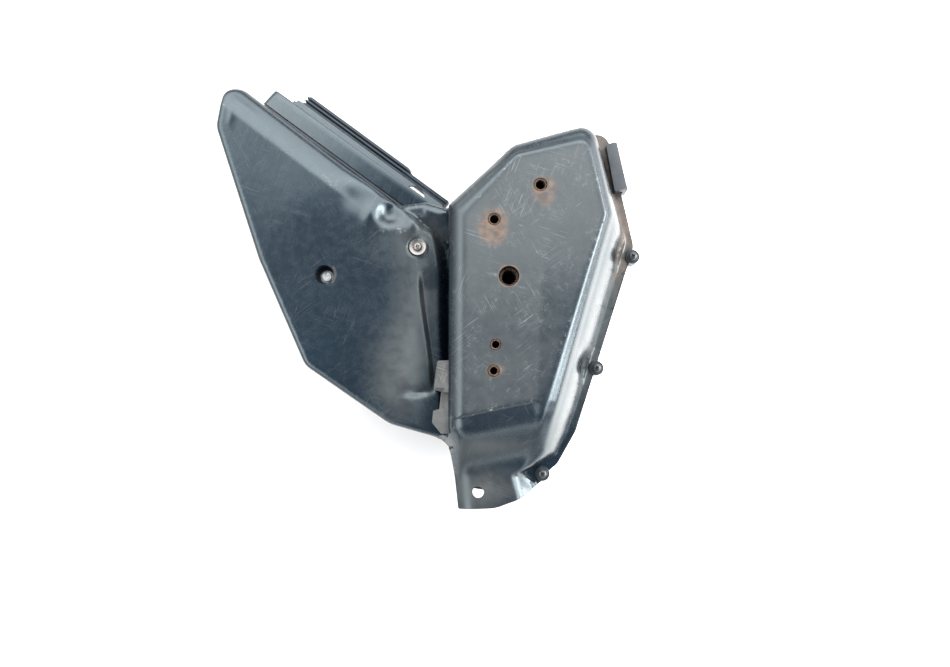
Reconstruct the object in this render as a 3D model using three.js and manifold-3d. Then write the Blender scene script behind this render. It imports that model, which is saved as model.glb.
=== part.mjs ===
// Air filter box of a motorcycle, lying on its back. Millimetres, +Z up.
// X = 0, Y = 0 is the axis of the big mounting sleeve; Z = 0 is the plane that the box rests on.
// The left lobe holds the filter element behind a slanted lid. The right lobe is the raw-air
// chamber, with an open duct at its lower end.
import * as THREE from 'three';
import { mergeVertices } from 'three/addons/utils/BufferGeometryUtils.js';
import Module from 'manifold-3d';

const wasm = await Module();
wasm.setup();

// ---------- driving dimensions ----------
const WALL = 2.6; // moulded wall
const GAP = 0.3; // air between touching pieces
const ARC_STEPS = 3; // segments in each rounded corner of an outline
const ROUND_SIDES = 12; // sides of a round piece

const LEFT_BASE = 34; // height of the left lobe's rear rim
const LEFT_FACE = 126; // height of the left face at its far left end
const LEFT_FACE_LEFT_X = -290;
const LEFT_FACE_SLOPE = 0.08; // fall of the left face towards the valley
const RIGHT_BASE = 74; // underside of the right lobe's flange
const RIGHT_FACE = 136; // height of the right face
const FLANGE = 4; // thickness of both flanges
const SEAL = 1.4; // thickness of the flat seals

const SLANT = THREE.MathUtils.degToRad(-37.1); // direction of the lid's long side
const MOUTH_PLANE = -2.5; // slanted side of the case, measured along the lid's normal
const LID = { start: -324, end: -104, depth: 19.5, bottom: 36, top: 96, radius: 8 };
const LID_SCREW = { fromSides: 6.5, fromTop: 9.5, counterbore: 4 };
const MOUTH = { start: -312, end: -118, bottom: 44, top: 90 };
const INTAKE = { start: -300, end: -163, bottom: 40, top: 66 };
const ELEMENT = { start: -306, end: -124, bottom: 47, top: 87, front: -8, back: -44 };
const PARTITION = { front: -46, back: -49 };

const SLEEVE = { radius: 9.6, bore: 6.2, length: 26, recess: 7 };
const OUTLET = { x: -200, y: 52, radius: 26 };
const RECESS_SCREW = { x: -183, y: 6 };
const DISHED_SCREW = { x: -91, y: 35 };
const FLANGE_SCREWS = { upper: [128, 30], middle: [89, -85], lower: [33, -191] };
const PANEL_SCREWS = [[-285, 182], [-229.5, -8], [-121, -133.5], [-59.5, -24]];
const INSERTS = {
  top: { x: 31, y: 90, radius: 6.5, bore: 4.6 },
  upper: { x: -14, y: 56, radius: 6, bore: 4.3 },
  lower: { x: -13, y: -66, radius: 5.2, bore: 3.6 },
  bottom: { x: -15, y: -91, radius: 5.6, bore: 3.6 },
};

// ---------- outlines: corners as [x, y, corner radius], anticlockwise ----------
const LEFT_OUTLINE = [
  [-288, 214, 14], [-296, 158, 24], [-249, 22, 60], [-201, -84, 20],
  [-118, -141, 40], [-52.5, -160, 8], [-52.5, 34, 4],
];
const LEFT_FACE_OUTLINE = [
  [-280, 178, 10], [-286, 156, 20], [-240, 22, 60], [-194, -76, 20],
  [-114, -129, 40], [-60, -144, 8], [-60, 12, 4],
];
const RIGHT_BASE_OUTLINE = [
  [-50, 66, 4], [-50, -162, 10], [-14, -176, 16], [34, -181, 20],
  [58, -150, 24], [122, 46, 20], [92, 162, 16], [3, 138, 20],
];
const RIGHT_SHOULDER_OUTLINE = [
  [-61, 66, 4], [-58, -152, 10], [-14, -168, 14], [26, -171, 14],
  [38, -148, 18], [104, 62, 18], [84, 157, 16], [4, 135, 16],
];
const RIGHT_EDGE_OUTLINE = [
  [-53, 63, 4], [-53, -140, 8], [-14, -142, 10], [22, -136, 10],
  [32, -126, 12], [96, 61, 14], [80, 141, 12], [7, 124, 12],
];
const RIGHT_FACE_OUTLINE = [
  [-49, 61, 4], [-49, -134, 6], [-14, -126, 8], [17, -120, 8],
  [27, -112, 8], [91, 60, 10], [76, 132, 8], [8, 118, 8],
];
const FLANGE_OUTLINE = [
  [-50, 58, 6], [-50, -160, 8], [-14, -184, 12], [44, -186, 16],
  [66, -148, 24], [129, 42, 18], [104, 164, 14], [1, 142, 16],
];
const DUCT_FRONT = [[-56, 74, 1], [28, 74, 1], [12, 78, 6], [-2, 94, 10], [-50, 96, 8]];
const DUCT_REAR = [[-50, 72, 1], [-48, 40, 8], [2, 38, 10], [26, 72, 1]];

// ---------- geometry helpers ----------
function roundedOutline(corners) {
  const points = [];
  corners.forEach(([x, y, radius], i) => {
    const here = new THREE.Vector2(x, y);
    const [px, py] = corners[(i + corners.length - 1) % corners.length];
    const [nx, ny] = corners[(i + 1) % corners.length];
    const back = new THREE.Vector2(px, py).sub(here).normalize();
    const ahead = new THREE.Vector2(nx, ny).sub(here).normalize();
    const half = Math.acos(THREE.MathUtils.clamp(back.dot(ahead), -1, 1)) / 2;
    const reach = radius / Math.tan(half);
    const start = here.clone().addScaledVector(back, reach);
    const stop = here.clone().addScaledVector(ahead, reach);
    const curve = new THREE.QuadraticBezierCurve(start, here, stop);
    points.push(...curve.getPoints(ARC_STEPS));
  });
  return points;
}

function inset(corners, distance) {
  return corners.map(([x, y, radius], i) => {
    const here = new THREE.Vector2(x, y);
    const [px, py] = corners[(i + corners.length - 1) % corners.length];
    const [nx, ny] = corners[(i + 1) % corners.length];
    const into = here.clone().sub(new THREE.Vector2(px, py)).normalize();
    const out = new THREE.Vector2(nx, ny).sub(here).normalize();
    const normals = [into, out].map((edge) => new THREE.Vector2(-edge.y, edge.x));
    const shift = normals[0].clone().add(normals[1]);
    shift.multiplyScalar(distance / (1 + normals[0].dot(normals[1])));
    return [x + shift.x, y + shift.y, Math.max(radius - distance, 0.8)];
  });
}

// A closed solid through rings of points, each ring an array of Vector3 of the same length.
function skin(rings) {
  const count = rings[0].length;
  const positions = rings.flat().flatMap((point) => [point.x, point.y, point.z]);
  const index = [];
  for (let level = 0; level + 1 < rings.length; level += 1) {
    for (let i = 0; i < count; i += 1) {
      const low = level * count + i;
      const lowNext = level * count + ((i + 1) % count);
      index.push(low, lowNext, lowNext + count, low, lowNext + count, low + count);
    }
  }
  const flat = (points) => points.map((p) => new THREE.Vector2(p.x, p.y));
  const cap = (points) => THREE.ShapeUtils.triangulateShape(flat(points), []);
  const last = (rings.length - 1) * count;
  cap(rings[0]).forEach(([a, b, c]) => index.push(a, c, b));
  cap(rings.at(-1)).forEach(([a, b, c]) => index.push(last + a, last + b, last + c));
  const geometry = new THREE.BufferGeometry();
  geometry.setAttribute('position', new THREE.Float32BufferAttribute(positions, 3));
  geometry.setIndex(index);
  return geometry;
}

// Levels are [corners, height], where height is a number or a function of x.
function loft(levels) {
  return skin(levels.map(([corners, height]) => roundedOutline(corners).map((p) => (
    new THREE.Vector3(p.x, p.y, typeof height === 'function' ? height(p.x) : height)
  ))));
}

function plate(corners, bottom, top) {
  return loft([[corners, bottom], [corners, top]]);
}

function box(x0, x1, y0, y1, z0, z1) {
  const geometry = new THREE.BoxGeometry(x1 - x0, y1 - y0, z1 - z0);
  return geometry.translate((x0 + x1) / 2, (y0 + y1) / 2, (z0 + z1) / 2);
}

function cylinder(x, y, radius, z0, z1, sides = ROUND_SIDES) {
  const geometry = new THREE.CylinderGeometry(radius, radius, z1 - z0, sides);
  return geometry.rotateX(Math.PI / 2).translate(x, y, (z0 + z1) / 2);
}

// A turned piece from [radius, height] pairs, which start and end on the axis or close on
// themselves.
function turned(profile, sides = ROUND_SIDES) {
  const points = profile.map(([radius, height]) => new THREE.Vector2(radius, height));
  return new THREE.LatheGeometry(points, sides).rotateX(Math.PI / 2);
}

function ring(inner, outer, z0, z1, sides = ROUND_SIDES) {
  return turned([[inner, z0], [outer, z0], [outer, z1], [inner, z1], [inner, z0]], sides);
}

// Turns a solid drawn in lid coordinates (along, out, up) into the case's own.
function onSlant(geometry) {
  return geometry.rotateZ(SLANT);
}

// An outline in the lid's own plane (along, up), extruded outwards between two distances.
function slantPlate(corners, from, to) {
  const geometry = plate(corners, -to, -from);
  return geometry.rotateX(Math.PI / 2);
}

function rectangle({ start, end, bottom, top }, margin, radius) {
  return [
    [start + margin, bottom + margin, radius], [end - margin, bottom + margin, radius],
    [end - margin, top - margin, radius], [start + margin, top - margin, radius],
  ];
}

// ---------- booleans ----------
function solid(geometry) {
  const bare = geometry.clone();
  bare.deleteAttribute('normal');
  bare.deleteAttribute('uv');
  const merged = mergeVertices(bare, 1e-4);
  return new wasm.Manifold(new wasm.Mesh({
    numProp: 3,
    vertProperties: merged.attributes.position.array,
    triVerts: new Uint32Array(merged.index.array),
  }));
}

function joined(...geometries) {
  return geometries.map(solid).reduce((whole, piece) => whole.add(piece));
}

function cut(body, ...shapes) {
  return shapes.reduce((rest, shape) => rest.subtract(shape.getMesh ? shape : solid(shape)), body);
}

function geometryOf(body) {
  const mesh = body.getMesh();
  const geometry = new THREE.BufferGeometry();
  geometry.setAttribute('position', new THREE.BufferAttribute(mesh.vertProperties, 3));
  geometry.setIndex(new THREE.BufferAttribute(mesh.triVerts, 1));
  geometry.computeVertexNormals();
  return geometry;
}

// ---------- materials ----------
const finish = (color, roughness, metalness) => ({ color, roughness, metalness });
const CASE_PLASTIC = finish(0x39434b, 0.42, 0);
const BLACK_PLASTIC = finish(0x1f2326, 0.5, 0);
const RUBBER = finish(0x26282a, 0.75, 0);
const BRIGHT_STEEL = finish(0xc9c9c6, 0.3, 1);
const BLACK_STEEL = finish(0x2a2c2e, 0.45, 0.6);
const RUSTY_STEEL = finish(0x5b4233, 0.85, 0.4);
const FILTER_PAPER = finish(0xc7b48b, 0.9, 0);
const WIRE = finish(0x9a9c9d, 0.4, 1);

const group = new THREE.Group();

function part(name, shape, look) {
  const geometry = shape.getMesh ? geometryOf(shape) : shape;
  const mesh = new THREE.Mesh(geometry, new THREE.MeshStandardMaterial(look));
  mesh.name = name;
  group.add(mesh);
  return mesh;
}

// ---------- main case ----------
const leftFaceHeight = (x) => LEFT_FACE - LEFT_FACE_SLOPE * (x - LEFT_FACE_LEFT_X);
const SHOULDER_DROP = 13; // from the left face down to the top of the straight wall
const SHOULDER_MID_DROP = 5;

function leftLobe(margin) {
  const lower = (drop) => (x) => leftFaceHeight(x) - drop - margin;
  return loft([
    [inset(LEFT_OUTLINE, margin), margin ? LEFT_BASE - 5 : LEFT_BASE],
    [inset(LEFT_OUTLINE, margin), lower(SHOULDER_DROP)],
    [inset(LEFT_OUTLINE, margin + 4), lower(SHOULDER_MID_DROP)],
    [inset(LEFT_FACE_OUTLINE, margin), lower(0)],
  ]);
}

function rightLobe(margin) {
  return loft([
    [inset(RIGHT_BASE_OUTLINE, margin), RIGHT_BASE + (margin ? FLANGE : 0)],
    [inset(RIGHT_SHOULDER_OUTLINE, margin), RIGHT_FACE - 16 - margin],
    [inset(RIGHT_EDGE_OUTLINE, margin), RIGHT_FACE - 4 - margin],
    [inset(RIGHT_FACE_OUTLINE, margin), RIGHT_FACE - margin],
  ]);
}

// The duct's half shell is drawn as a section in X and Z and runs along Y.
function ductShell(section, margin, from, to) {
  return plate(inset(section, margin), -to, -from).rotateX(Math.PI / 2);
}

const LOBE_WALL = -52.5; // right side of the wall between the two lobes
const DUCT_END = -225;
const DUCT_ROOT = -150;
const DUCT_PASSAGE = { left: -44, right: 11 }; // opening between the duct's two halves
const OPEN = 12; // how far a cut runs past the face that it opens
const DUCT_HOLE = { x: -31, y: -208, radius: 4.9 };
const AIR_PORT = { front: -6, back: 30, bottom: RIGHT_BASE + 8, top: RIGHT_BASE + 24 };

// The duct's end is cut back on the right, in two straight slopes.
function ductScoop() {
  const outline = [[-14, -223, 1], [-14, -260, 1], [80, -260, 1], [80, -186, 1], [42, -199, 1]];
  return plate(outline, 0, 150);
}

const INSERT_DEPTH = 16;
const FLANGE_BOSS = { radius: 7.5, height: 6 };
const RECESS = { radius: 9.6, floor: 103, boss: 12.4 };
const PILLAR = { radius: 7, bore: 2.9 };
const dishedSeat = leftFaceHeight(DISHED_SCREW.x) - 1.6;

function mainCase() {
  const outerLeft = solid(leftLobe(0));
  const flange = plate(FLANGE_OUTLINE, RIGHT_BASE, RIGHT_BASE + FLANGE);
  const screwBosses = Object.values(FLANGE_SCREWS).map(([x, y]) => (
    cylinder(x, y, FLANGE_BOSS.radius, RIGHT_BASE, RIGHT_BASE + FLANGE_BOSS.height)
  ));
  const outer = outerLeft
    .add(solid(rightLobe(0)))
    .add(joined(flange, ...screwBosses))
    .add(solid(ductShell(DUCT_FRONT, 0, DUCT_END, DUCT_ROOT)))
    .add(solid(hump()));
  const chamber = cut(solid(rightLobe(WALL)), box(-90, LOBE_WALL, -200, 100, 0, 110));
  const hollow = cut(
    outer.subtract(chamber),
    leftLobe(WALL),
    plate(inset(RIGHT_BASE_OUTLINE, 14), RIGHT_BASE - OPEN, RIGHT_BASE + OPEN),
    ductShell(DUCT_FRONT, WALL, DUCT_END - OPEN, DUCT_ROOT - 12),
    box(DUCT_PASSAGE.left, DUCT_PASSAGE.right, -240, DUCT_ROOT, RIGHT_BASE - OPEN, RIGHT_BASE + 6),
    box(DUCT_PASSAGE.left, -8, -180, DUCT_ROOT, RIGHT_BASE - OPEN, RIGHT_BASE + 14),
    ductScoop(),
  );
  const { x: recessX, y: recessY } = RECESS_SCREW;
  const { x: dishedX, y: dishedY } = DISHED_SCREW;
  const sleeveBottom = RIGHT_FACE - SLEEVE.recess - SLEEVE.length;
  const inside = joined(
    cylinder(recessX, recessY, RECESS.boss, RECESS.floor - WALL, leftFaceHeight(recessX)),
    cylinder(recessX, recessY, PILLAR.radius, LEFT_BASE, RECESS.floor),
    cylinder(dishedX, dishedY, PILLAR.radius, LEFT_BASE, dishedSeat),
    cylinder(0, 0, SLEEVE.radius + WALL, sleeveBottom - WALL, RIGHT_FACE - 1),
    ...Object.values(INSERTS).map(({ x, y, radius }) => (
      cylinder(x, y, radius + 2.5, RIGHT_FACE - INSERT_DEPTH - 4, RIGHT_FACE - 1)
    )),
    ...PANEL_SCREWS.map(([x, y]) => cylinder(x, y, 5, LEFT_BASE, LEFT_BASE + 16)),
    ...lidCorners().map(([along, up]) => (
      onSlant(slantCylinder(along, up, 4.6, MOUTH_PLANE - 14, MOUTH_PLANE))
    )),
  );
  const partition = solid(onSlant(box(-345, -40, PARTITION.back, PARTITION.front, LEFT_BASE, 130)));
  const filled = hollow.add(inside.add(partition).intersect(outer));
  return cut(
    filled,
    onSlant(slantPlate(rectangle(MOUTH, 0, 5), MOUTH_PLANE - 20, OPEN)),
    onSlant(slantPlate(rectangle(ELEMENT, 8, 3), PARTITION.back - OPEN, PARTITION.front + OPEN)),
    box(-60, -44, AIR_PORT.front, AIR_PORT.back, AIR_PORT.bottom, AIR_PORT.top),
    cylinder(recessX, recessY, RECESS.radius, RECESS.floor, RIGHT_FACE),
    cylinder(recessX, recessY, PILLAR.bore, LEFT_BASE - OPEN, RIGHT_FACE),
    cylinder(dishedX, dishedY, 9, dishedSeat, RIGHT_FACE),
    cylinder(dishedX, dishedY, PILLAR.bore, LEFT_BASE - OPEN, RIGHT_FACE),
    cylinder(0, 0, SLEEVE.radius + GAP, sleeveBottom - GAP, RIGHT_FACE + OPEN, 24),
    ...Object.values(INSERTS).map(({ x, y, radius }) => (
      cylinder(x, y, radius + GAP, RIGHT_FACE - INSERT_DEPTH - GAP, RIGHT_FACE + OPEN)
    )),
    ...PANEL_SCREWS.map(([x, y]) => cylinder(x, y, 2.2, LEFT_BASE - OPEN, LEFT_BASE + 13, 10)),
    ...lidCorners().map(([along, up]) => (
      onSlant(slantCylinder(along, up, 2.2, MOUTH_PLANE - 11, OPEN, 10))
    )),
    ...Object.values(FLANGE_SCREWS).map(([x, y]) => (
      cylinder(x, y, 2.9, RIGHT_BASE - OPEN, RIGHT_BASE + OPEN)
    )),
    cylinder(DUCT_HOLE.x, DUCT_HOLE.y, DUCT_HOLE.radius, RIGHT_BASE + 6, RIGHT_FACE),
  );
}

// The rounded corner of the case that reaches over the lid's lower end.
function hump() {
  const foot = [[-136, 80, 2], [-90, 30, 4], [-52, 40, 4], [-62, 78, 8], [-84, 84, 12]];
  const crown = [[-134, 76, 2], [-90, 30, 4], [-52, 40, 4], [-64, 72, 8], [-86, 78, 10]];
  return loft([[foot, LID.top + 1], [crown, LID.top + 7]]);
}

// A cylinder in lid coordinates whose axis points out of the lid.
function slantCylinder(along, up, radius, from, to, sides = ROUND_SIDES) {
  return cylinder(along, up, radius, -to, -from, sides).rotateX(Math.PI / 2);
}

function lidCorners() {
  const sides = [LID.start + LID_SCREW.fromSides, LID.end - LID_SCREW.fromSides];
  const levels = [LID.bottom + LID_SCREW.fromSides, LID.top - LID_SCREW.fromTop];
  return sides.flatMap((along) => levels.map((up) => [along, up]));
}

part('main_case', mainCase(), CASE_PLASTIC);

// ---------- right rear cover, its seal and its three screws ----------
const COVER_TOP = RIGHT_BASE - 2 * GAP - SEAL;
const COVER_LIP = 2; // how far the cover's flange stands out past the case's
const coverDuct = DUCT_REAR.map(([x, z, radius]) => [x, z - 2, radius]);
const coverScoop = [
  [90, -226, 1], [90, -190, 1], [28, -186, 1], [-6, -214, 1], [-60, -204, 1], [-60, -226, 1],
];

function rearCover() {
  const outer = joined(
    loft([
      [inset(RIGHT_BASE_OUTLINE, 16), 0],
      [inset(RIGHT_BASE_OUTLINE, 11), 3],
      [inset(RIGHT_BASE_OUTLINE, 9), 12],
      [inset(RIGHT_BASE_OUTLINE, 5), COVER_TOP],
    ]),
    plate(inset(FLANGE_OUTLINE, -COVER_LIP), COVER_TOP - FLANGE, COVER_TOP),
    ...Object.values(FLANGE_SCREWS).map(([x, y]) => (
      cylinder(x, y, FLANGE_BOSS.radius, COVER_TOP - 14, COVER_TOP)
    )),
    ductShell(coverDuct, 0, -212, DUCT_ROOT),
  );
  return cut(
    outer,
    loft([
      [inset(RIGHT_BASE_OUTLINE, 16 + WALL), WALL],
      [inset(RIGHT_BASE_OUTLINE, 12 + WALL), 12],
      [inset(RIGHT_BASE_OUTLINE, 8 + WALL), COVER_TOP + OPEN],
    ]),
    ductShell(coverDuct, WALL, -240, DUCT_ROOT - 14),
    box(DUCT_PASSAGE.left, DUCT_PASSAGE.right, -240, DUCT_ROOT, COVER_TOP - 10, COVER_TOP + OPEN),
    plate(coverScoop, 0, 90),
    ...Object.values(FLANGE_SCREWS).map(([x, y]) => (
      cylinder(x, y, 2.7, COVER_TOP - 12, COVER_TOP + OPEN)
    )),
  );
}

part('right_rear_cover', rearCover(), BLACK_PLASTIC);

const coverSealTop = COVER_TOP + GAP + SEAL;
const sealBody = cut(
  joined(
    plate(inset(FLANGE_OUTLINE, 1), COVER_TOP + GAP, coverSealTop),
    ...Object.values(FLANGE_SCREWS).map(([x, y]) => (
      cylinder(x, y, 7.4, COVER_TOP + GAP, coverSealTop)
    )),
  ),
  plate(inset(FLANGE_OUTLINE, 9), COVER_TOP - OPEN, RIGHT_BASE + OPEN),
  box(DUCT_PASSAGE.left, DUCT_PASSAGE.right, -240, DUCT_ROOT, COVER_TOP - OPEN, RIGHT_BASE + OPEN),
  ...Object.values(FLANGE_SCREWS).map(([x, y]) => (
    cylinder(x, y, 2.9, COVER_TOP - OPEN, RIGHT_BASE + OPEN)
  )),
);
part('right_cover_seal', sealBody, RUBBER);

function panScrew(head, shank, length, washer = 0) {
  const seat = washer ? 1 : 0;
  const profile = [[0, -length], [shank, -length], [shank, 0]];
  if (washer) profile.push([washer, 0], [washer, seat]);
  profile.push([head, seat], [head, seat + 1.6], [head * 0.7, seat + 2.8], [0, seat + 3]);
  return turned(profile, 14);
}

for (const [place, [x, y]] of Object.entries(FLANGE_SCREWS)) {
  const screw = panScrew(4.2, 2.4, 17, 5.4).translate(x, y, RIGHT_BASE + FLANGE_BOSS.height + GAP);
  part(`flange_screw_${place}`, screw, BLACK_STEEL);
}

// ---------- fittings in the right face ----------
const sleeveTop = RIGHT_FACE - SLEEVE.recess;
part('mount_sleeve', turned([
  [0, sleeveTop - SLEEVE.length], [SLEEVE.radius, sleeveTop - SLEEVE.length], [SLEEVE.radius, sleeveTop],
  [SLEEVE.bore + 1, sleeveTop], [SLEEVE.bore, sleeveTop - 1], [SLEEVE.bore, sleeveTop - SLEEVE.length + 2],
  [0, sleeveTop - SLEEVE.length + 2],
], 24), RUSTY_STEEL);

for (const [place, { x, y, radius, bore }] of Object.entries(INSERTS)) {
  const top = RIGHT_FACE - 0.6;
  const bottom = RIGHT_FACE - INSERT_DEPTH;
  const insert = turned([
    [0, bottom], [radius, bottom], [radius, top], [bore + 0.6, top], [bore, top - 0.8],
    [bore, bottom + 2], [0, bottom + 2],
  ]);
  part(`threaded_insert_${place}`, insert.translate(x, y, 0), RUSTY_STEEL);
}

// ---------- screws in the left face ----------
const WASHER = 1.2;
const recessWasher = ring(2.9, 6.6, 0, WASHER);
recessWasher.translate(RECESS_SCREW.x, RECESS_SCREW.y, RECESS.floor + GAP);
part('recess_washer', recessWasher, BRIGHT_STEEL);
part(
  'recess_screw',
  panScrew(5.5, 2.5, RECESS.floor - LEFT_BASE + 4).translate(
    RECESS_SCREW.x,
    RECESS_SCREW.y,
    RECESS.floor + WASHER + 2 * GAP,
  ),
  BRIGHT_STEEL,
);
part('dished_washer', turned([
  [2.9, 0], [4.5, 0], [8.6, 1.4], [8.6, 2.2], [4.4, 1], [2.9, 1], [2.9, 0],
]).translate(DISHED_SCREW.x, DISHED_SCREW.y, dishedSeat + GAP), BRIGHT_STEEL);
part(
  'dished_screw',
  panScrew(4, 2.5, dishedSeat - LEFT_BASE + 4).translate(
    DISHED_SCREW.x,
    DISHED_SCREW.y,
    dishedSeat + 1 + 2 * GAP,
  ),
  BRIGHT_STEEL,
);

// ---------- left rear panel, its seal, screws and outlet ----------
const PANEL_TOP = LEFT_BASE - 2 * GAP - SEAL;
const PANEL = 4;
const SPIGOT_END = 7;
const faceScrews = [RECESS_SCREW, DISHED_SCREW];

function rearPanel() {
  const { x, y, radius } = OUTLET;
  const body = joined(
    plate(LEFT_OUTLINE, PANEL_TOP - PANEL, PANEL_TOP),
    cylinder(x, y, radius, SPIGOT_END, PANEL_TOP - 1, 32),
    ...faceScrews.map((screw) => cylinder(screw.x, screw.y, 6.5, PANEL_TOP - 9, PANEL_TOP - 1)),
  );
  return cut(
    body,
    cylinder(x, y, radius - WALL, SPIGOT_END - OPEN, PANEL_TOP + OPEN, 32),
    ...faceScrews.map((screw) => cylinder(screw.x, screw.y, 2.8, PANEL_TOP - 7, PANEL_TOP + OPEN, 12)),
    ...PANEL_SCREWS.map(([px, py]) => cylinder(px, py, 2.3, PANEL_TOP - OPEN, PANEL_TOP + OPEN, 12)),
  );
}

part('left_rear_panel', rearPanel(), BLACK_PLASTIC);

const panelSeal = cut(
  joined(plate(inset(LEFT_OUTLINE, 0.6), PANEL_TOP + GAP, PANEL_TOP + GAP + SEAL)),
  plate(inset(LEFT_OUTLINE, 4.6), PANEL_TOP - OPEN, PANEL_TOP + OPEN),
  ...PANEL_SCREWS.map(([x, y]) => cylinder(x, y, 2.4, PANEL_TOP - OPEN, PANEL_TOP + OPEN, 10)),
);
part('left_panel_seal', panelSeal, RUBBER);

PANEL_SCREWS.forEach(([x, y], i) => {
  const screw = panScrew(4, 1.9, 15).rotateX(Math.PI).translate(x, y, PANEL_TOP - PANEL - GAP);
  part(`rear_panel_screw_${i + 1}`, screw, BLACK_STEEL);
});

const bootInner = OUTLET.radius + GAP;
const bootTop = PANEL_TOP - PANEL - GAP;
part('outlet_boot', turned([
  [bootInner - 3, 0], [bootInner + 5, 0], [bootInner + 5, 9], [bootInner + 3.4, 10], [bootInner + 3.4, 20],
  [bootInner + 5, 21], [bootInner + 5, bootTop], [bootInner, bootTop], [bootInner, 5], [bootInner - 3, 5],
  [bootInner - 3, 0],
], 32).translate(OUTLET.x, OUTLET.y, 0), RUBBER);

const CLAMP = { inner: bootInner + 3.4 + GAP, thickness: 1, bottom: 11, top: 19 };
const lugX = OUTLET.x - CLAMP.inner - 4;
const clampHoop = ring(CLAMP.inner, CLAMP.inner + CLAMP.thickness, CLAMP.bottom, CLAMP.top, 32);
const clampBody = cut(
  joined(
    clampHoop.translate(OUTLET.x, OUTLET.y, 0),
    box(lugX - 6, lugX + 4.4, OUTLET.y - 6, OUTLET.y - 4, CLAMP.bottom, CLAMP.top),
    box(lugX - 6, lugX + 4.4, OUTLET.y + 4, OUTLET.y + 6, CLAMP.bottom, CLAMP.top),
  ),
  box(lugX - 4, lugX + 8, OUTLET.y - 4, OUTLET.y + 4, 0, 30),
  cylinder(0, 0, 2.1, -20, 20, 10).rotateX(Math.PI / 2).translate(lugX - 2, OUTLET.y, 15),
);
part('clamp_band', clampBody, WIRE);
const clampScrew = panScrew(3.4, 1.8, 18).rotateX(Math.PI / 2).translate(lugX - 2, OUTLET.y - 6 - GAP, 15);
part('clamp_screw', clampScrew, BRIGHT_STEEL);
const clampNut = cut(
  joined(cylinder(0, 0, 3.8, 0, 3, 6)),
  cylinder(0, 0, 2.1, -2, 5, 10),
);
const nutGeometry = geometryOf(clampNut).rotateX(-Math.PI / 2);
part('clamp_nut', nutGeometry.translate(lugX - 2, OUTLET.y + 6 + GAP, 15), BRIGHT_STEEL);

// ---------- clip and edge rubber ----------
const clipOutline = [
  [-70, -80, 2], [-74, -108, 2], [-66, -112, 2], [-64, -101, 1], [-61.5, -101, 1], [-61.5, -127, 3],
  [-67, -126, 1], [-76, -131, 2], [-74, -140, 2], [-66, -151, 1], [-56.5, -151, 1], [-56.5, -80, 1],
];
const clipTop = (x) => (x < -61 ? 122 : 119);
part('hose_clip', cut(
  joined(loft([[clipOutline, 107], [clipOutline, clipTop]])),
  rightLobe(-GAP),
  leftLobe(-GAP),
), BLACK_PLASTIC);

const rubberOutline = [[102, 147, 1.5], [110, 97, 1.5], [123, 100, 1.5], [113, 150, 1.5]];
const edgeRubber = cut(
  joined(plate(rubberOutline, 56, 88)),
  plate(
    inset(FLANGE_OUTLINE, -COVER_LIP - GAP),
    COVER_TOP - FLANGE - GAP,
    RIGHT_BASE + FLANGE + GAP,
  ),
  rightLobe(-1.2),
  loft([
    [inset(RIGHT_BASE_OUTLINE, 8), 20],
    [inset(RIGHT_BASE_OUTLINE, 4), COVER_TOP],
  ]),
);
part('edge_rubber', edgeRubber, RUBBER);

// ---------- slanted lid, drawn along X (long side), Y (outwards) and Z ----------
const NECK_END = LID.depth + 8.5;
const STRIP = { bottom: 74, top: 78 }; // flat strip beside the intake's neck
const STRIP_HOLE = { along: -138, out: LID.depth - 3.3, radius: 12.3 };

function lidBody() {
  const outer = joined(
    slantPlate(rectangle(LID, 0, LID.radius), 0, LID.depth - 2),
    slantPlate(rectangle(LID, 1.6, LID.radius), 2, LID.depth),
    slantPlate(rectangle(INTAKE, 0, 4), 4, NECK_END),
    box(INTAKE.start - 3, LID.end - 3, LID.depth - 3, NECK_END, STRIP.bottom, STRIP.top),
  );
  const bosses = lidCorners().map(([along, up]) => slantCylinder(along, up, 6.4, 0, LID.depth - 1));
  const cavity = slantPlate(rectangle(LID, WALL, LID.radius - WALL), -OPEN, LID.depth - WALL);
  const roundHole = cylinder(STRIP_HOLE.along, STRIP_HOLE.out, STRIP_HOLE.radius, 70, 82, 24);
  return cut(
    cut(outer, cavity).add(joined(...bosses).intersect(outer)),
    slantPlate(rectangle(INTAKE, WALL, 2), 2, LID.depth + 20),
    cut(joined(roundHole), box(-160, -110, 0, LID.depth, 60, 90)),
    ...lidCorners().flatMap(([along, up]) => [
      slantCylinder(along, up, 2.8, -OPEN, LID.depth + OPEN, 12),
      slantCylinder(along, up, 4.8, LID.depth - LID_SCREW.counterbore, LID.depth + OPEN),
    ]),
  );
}

const lidGeometry = geometryOf(lidBody());
part('filter_lid', onSlant(lidGeometry), CASE_PLASTIC);

const gasket = cut(
  joined(slantPlate(rectangle(LID, 1.5, LID.radius), MOUTH_PLANE + GAP, -GAP)),
  slantPlate(rectangle(MOUTH, 0.5, 4), -OPEN, OPEN),
  ...lidCorners().map(([along, up]) => slantCylinder(along, up, 2.8, -OPEN, OPEN, 12)),
);
part('lid_gasket', onSlant(geometryOf(gasket)), RUBBER);

lidCorners().forEach(([along, up], i) => {
  const screw = panScrew(4.2, 1.9, 26).rotateX(-Math.PI / 2);
  screw.translate(along, LID.depth - LID_SCREW.counterbore + GAP, up);
  part(`lid_screw_${i + 1}`, onSlant(screw), BLACK_STEEL);
});

function intakeSeal() {
  const from = NECK_END + GAP;
  const outer = rectangle(INTAKE, -2, 5);
  const ribs = [1, 5.2, 9.4].map((start) => (
    slantPlate(rectangle(INTAKE, -3.2, 5), from + start, from + start + 2.2)
  ));
  const tail = box(INTAKE.end - 2, LID.end - 3, from, from + 8.5, 58, 68);
  return cut(
    joined(slantPlate(outer, from, from + 12.4), ...ribs, tail),
    slantPlate(rectangle(INTAKE, 3.6, 2), from - OPEN, from + 20 + OPEN),
  );
}

part('intake_seal', onSlant(geometryOf(intakeSeal())), RUBBER);

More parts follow.
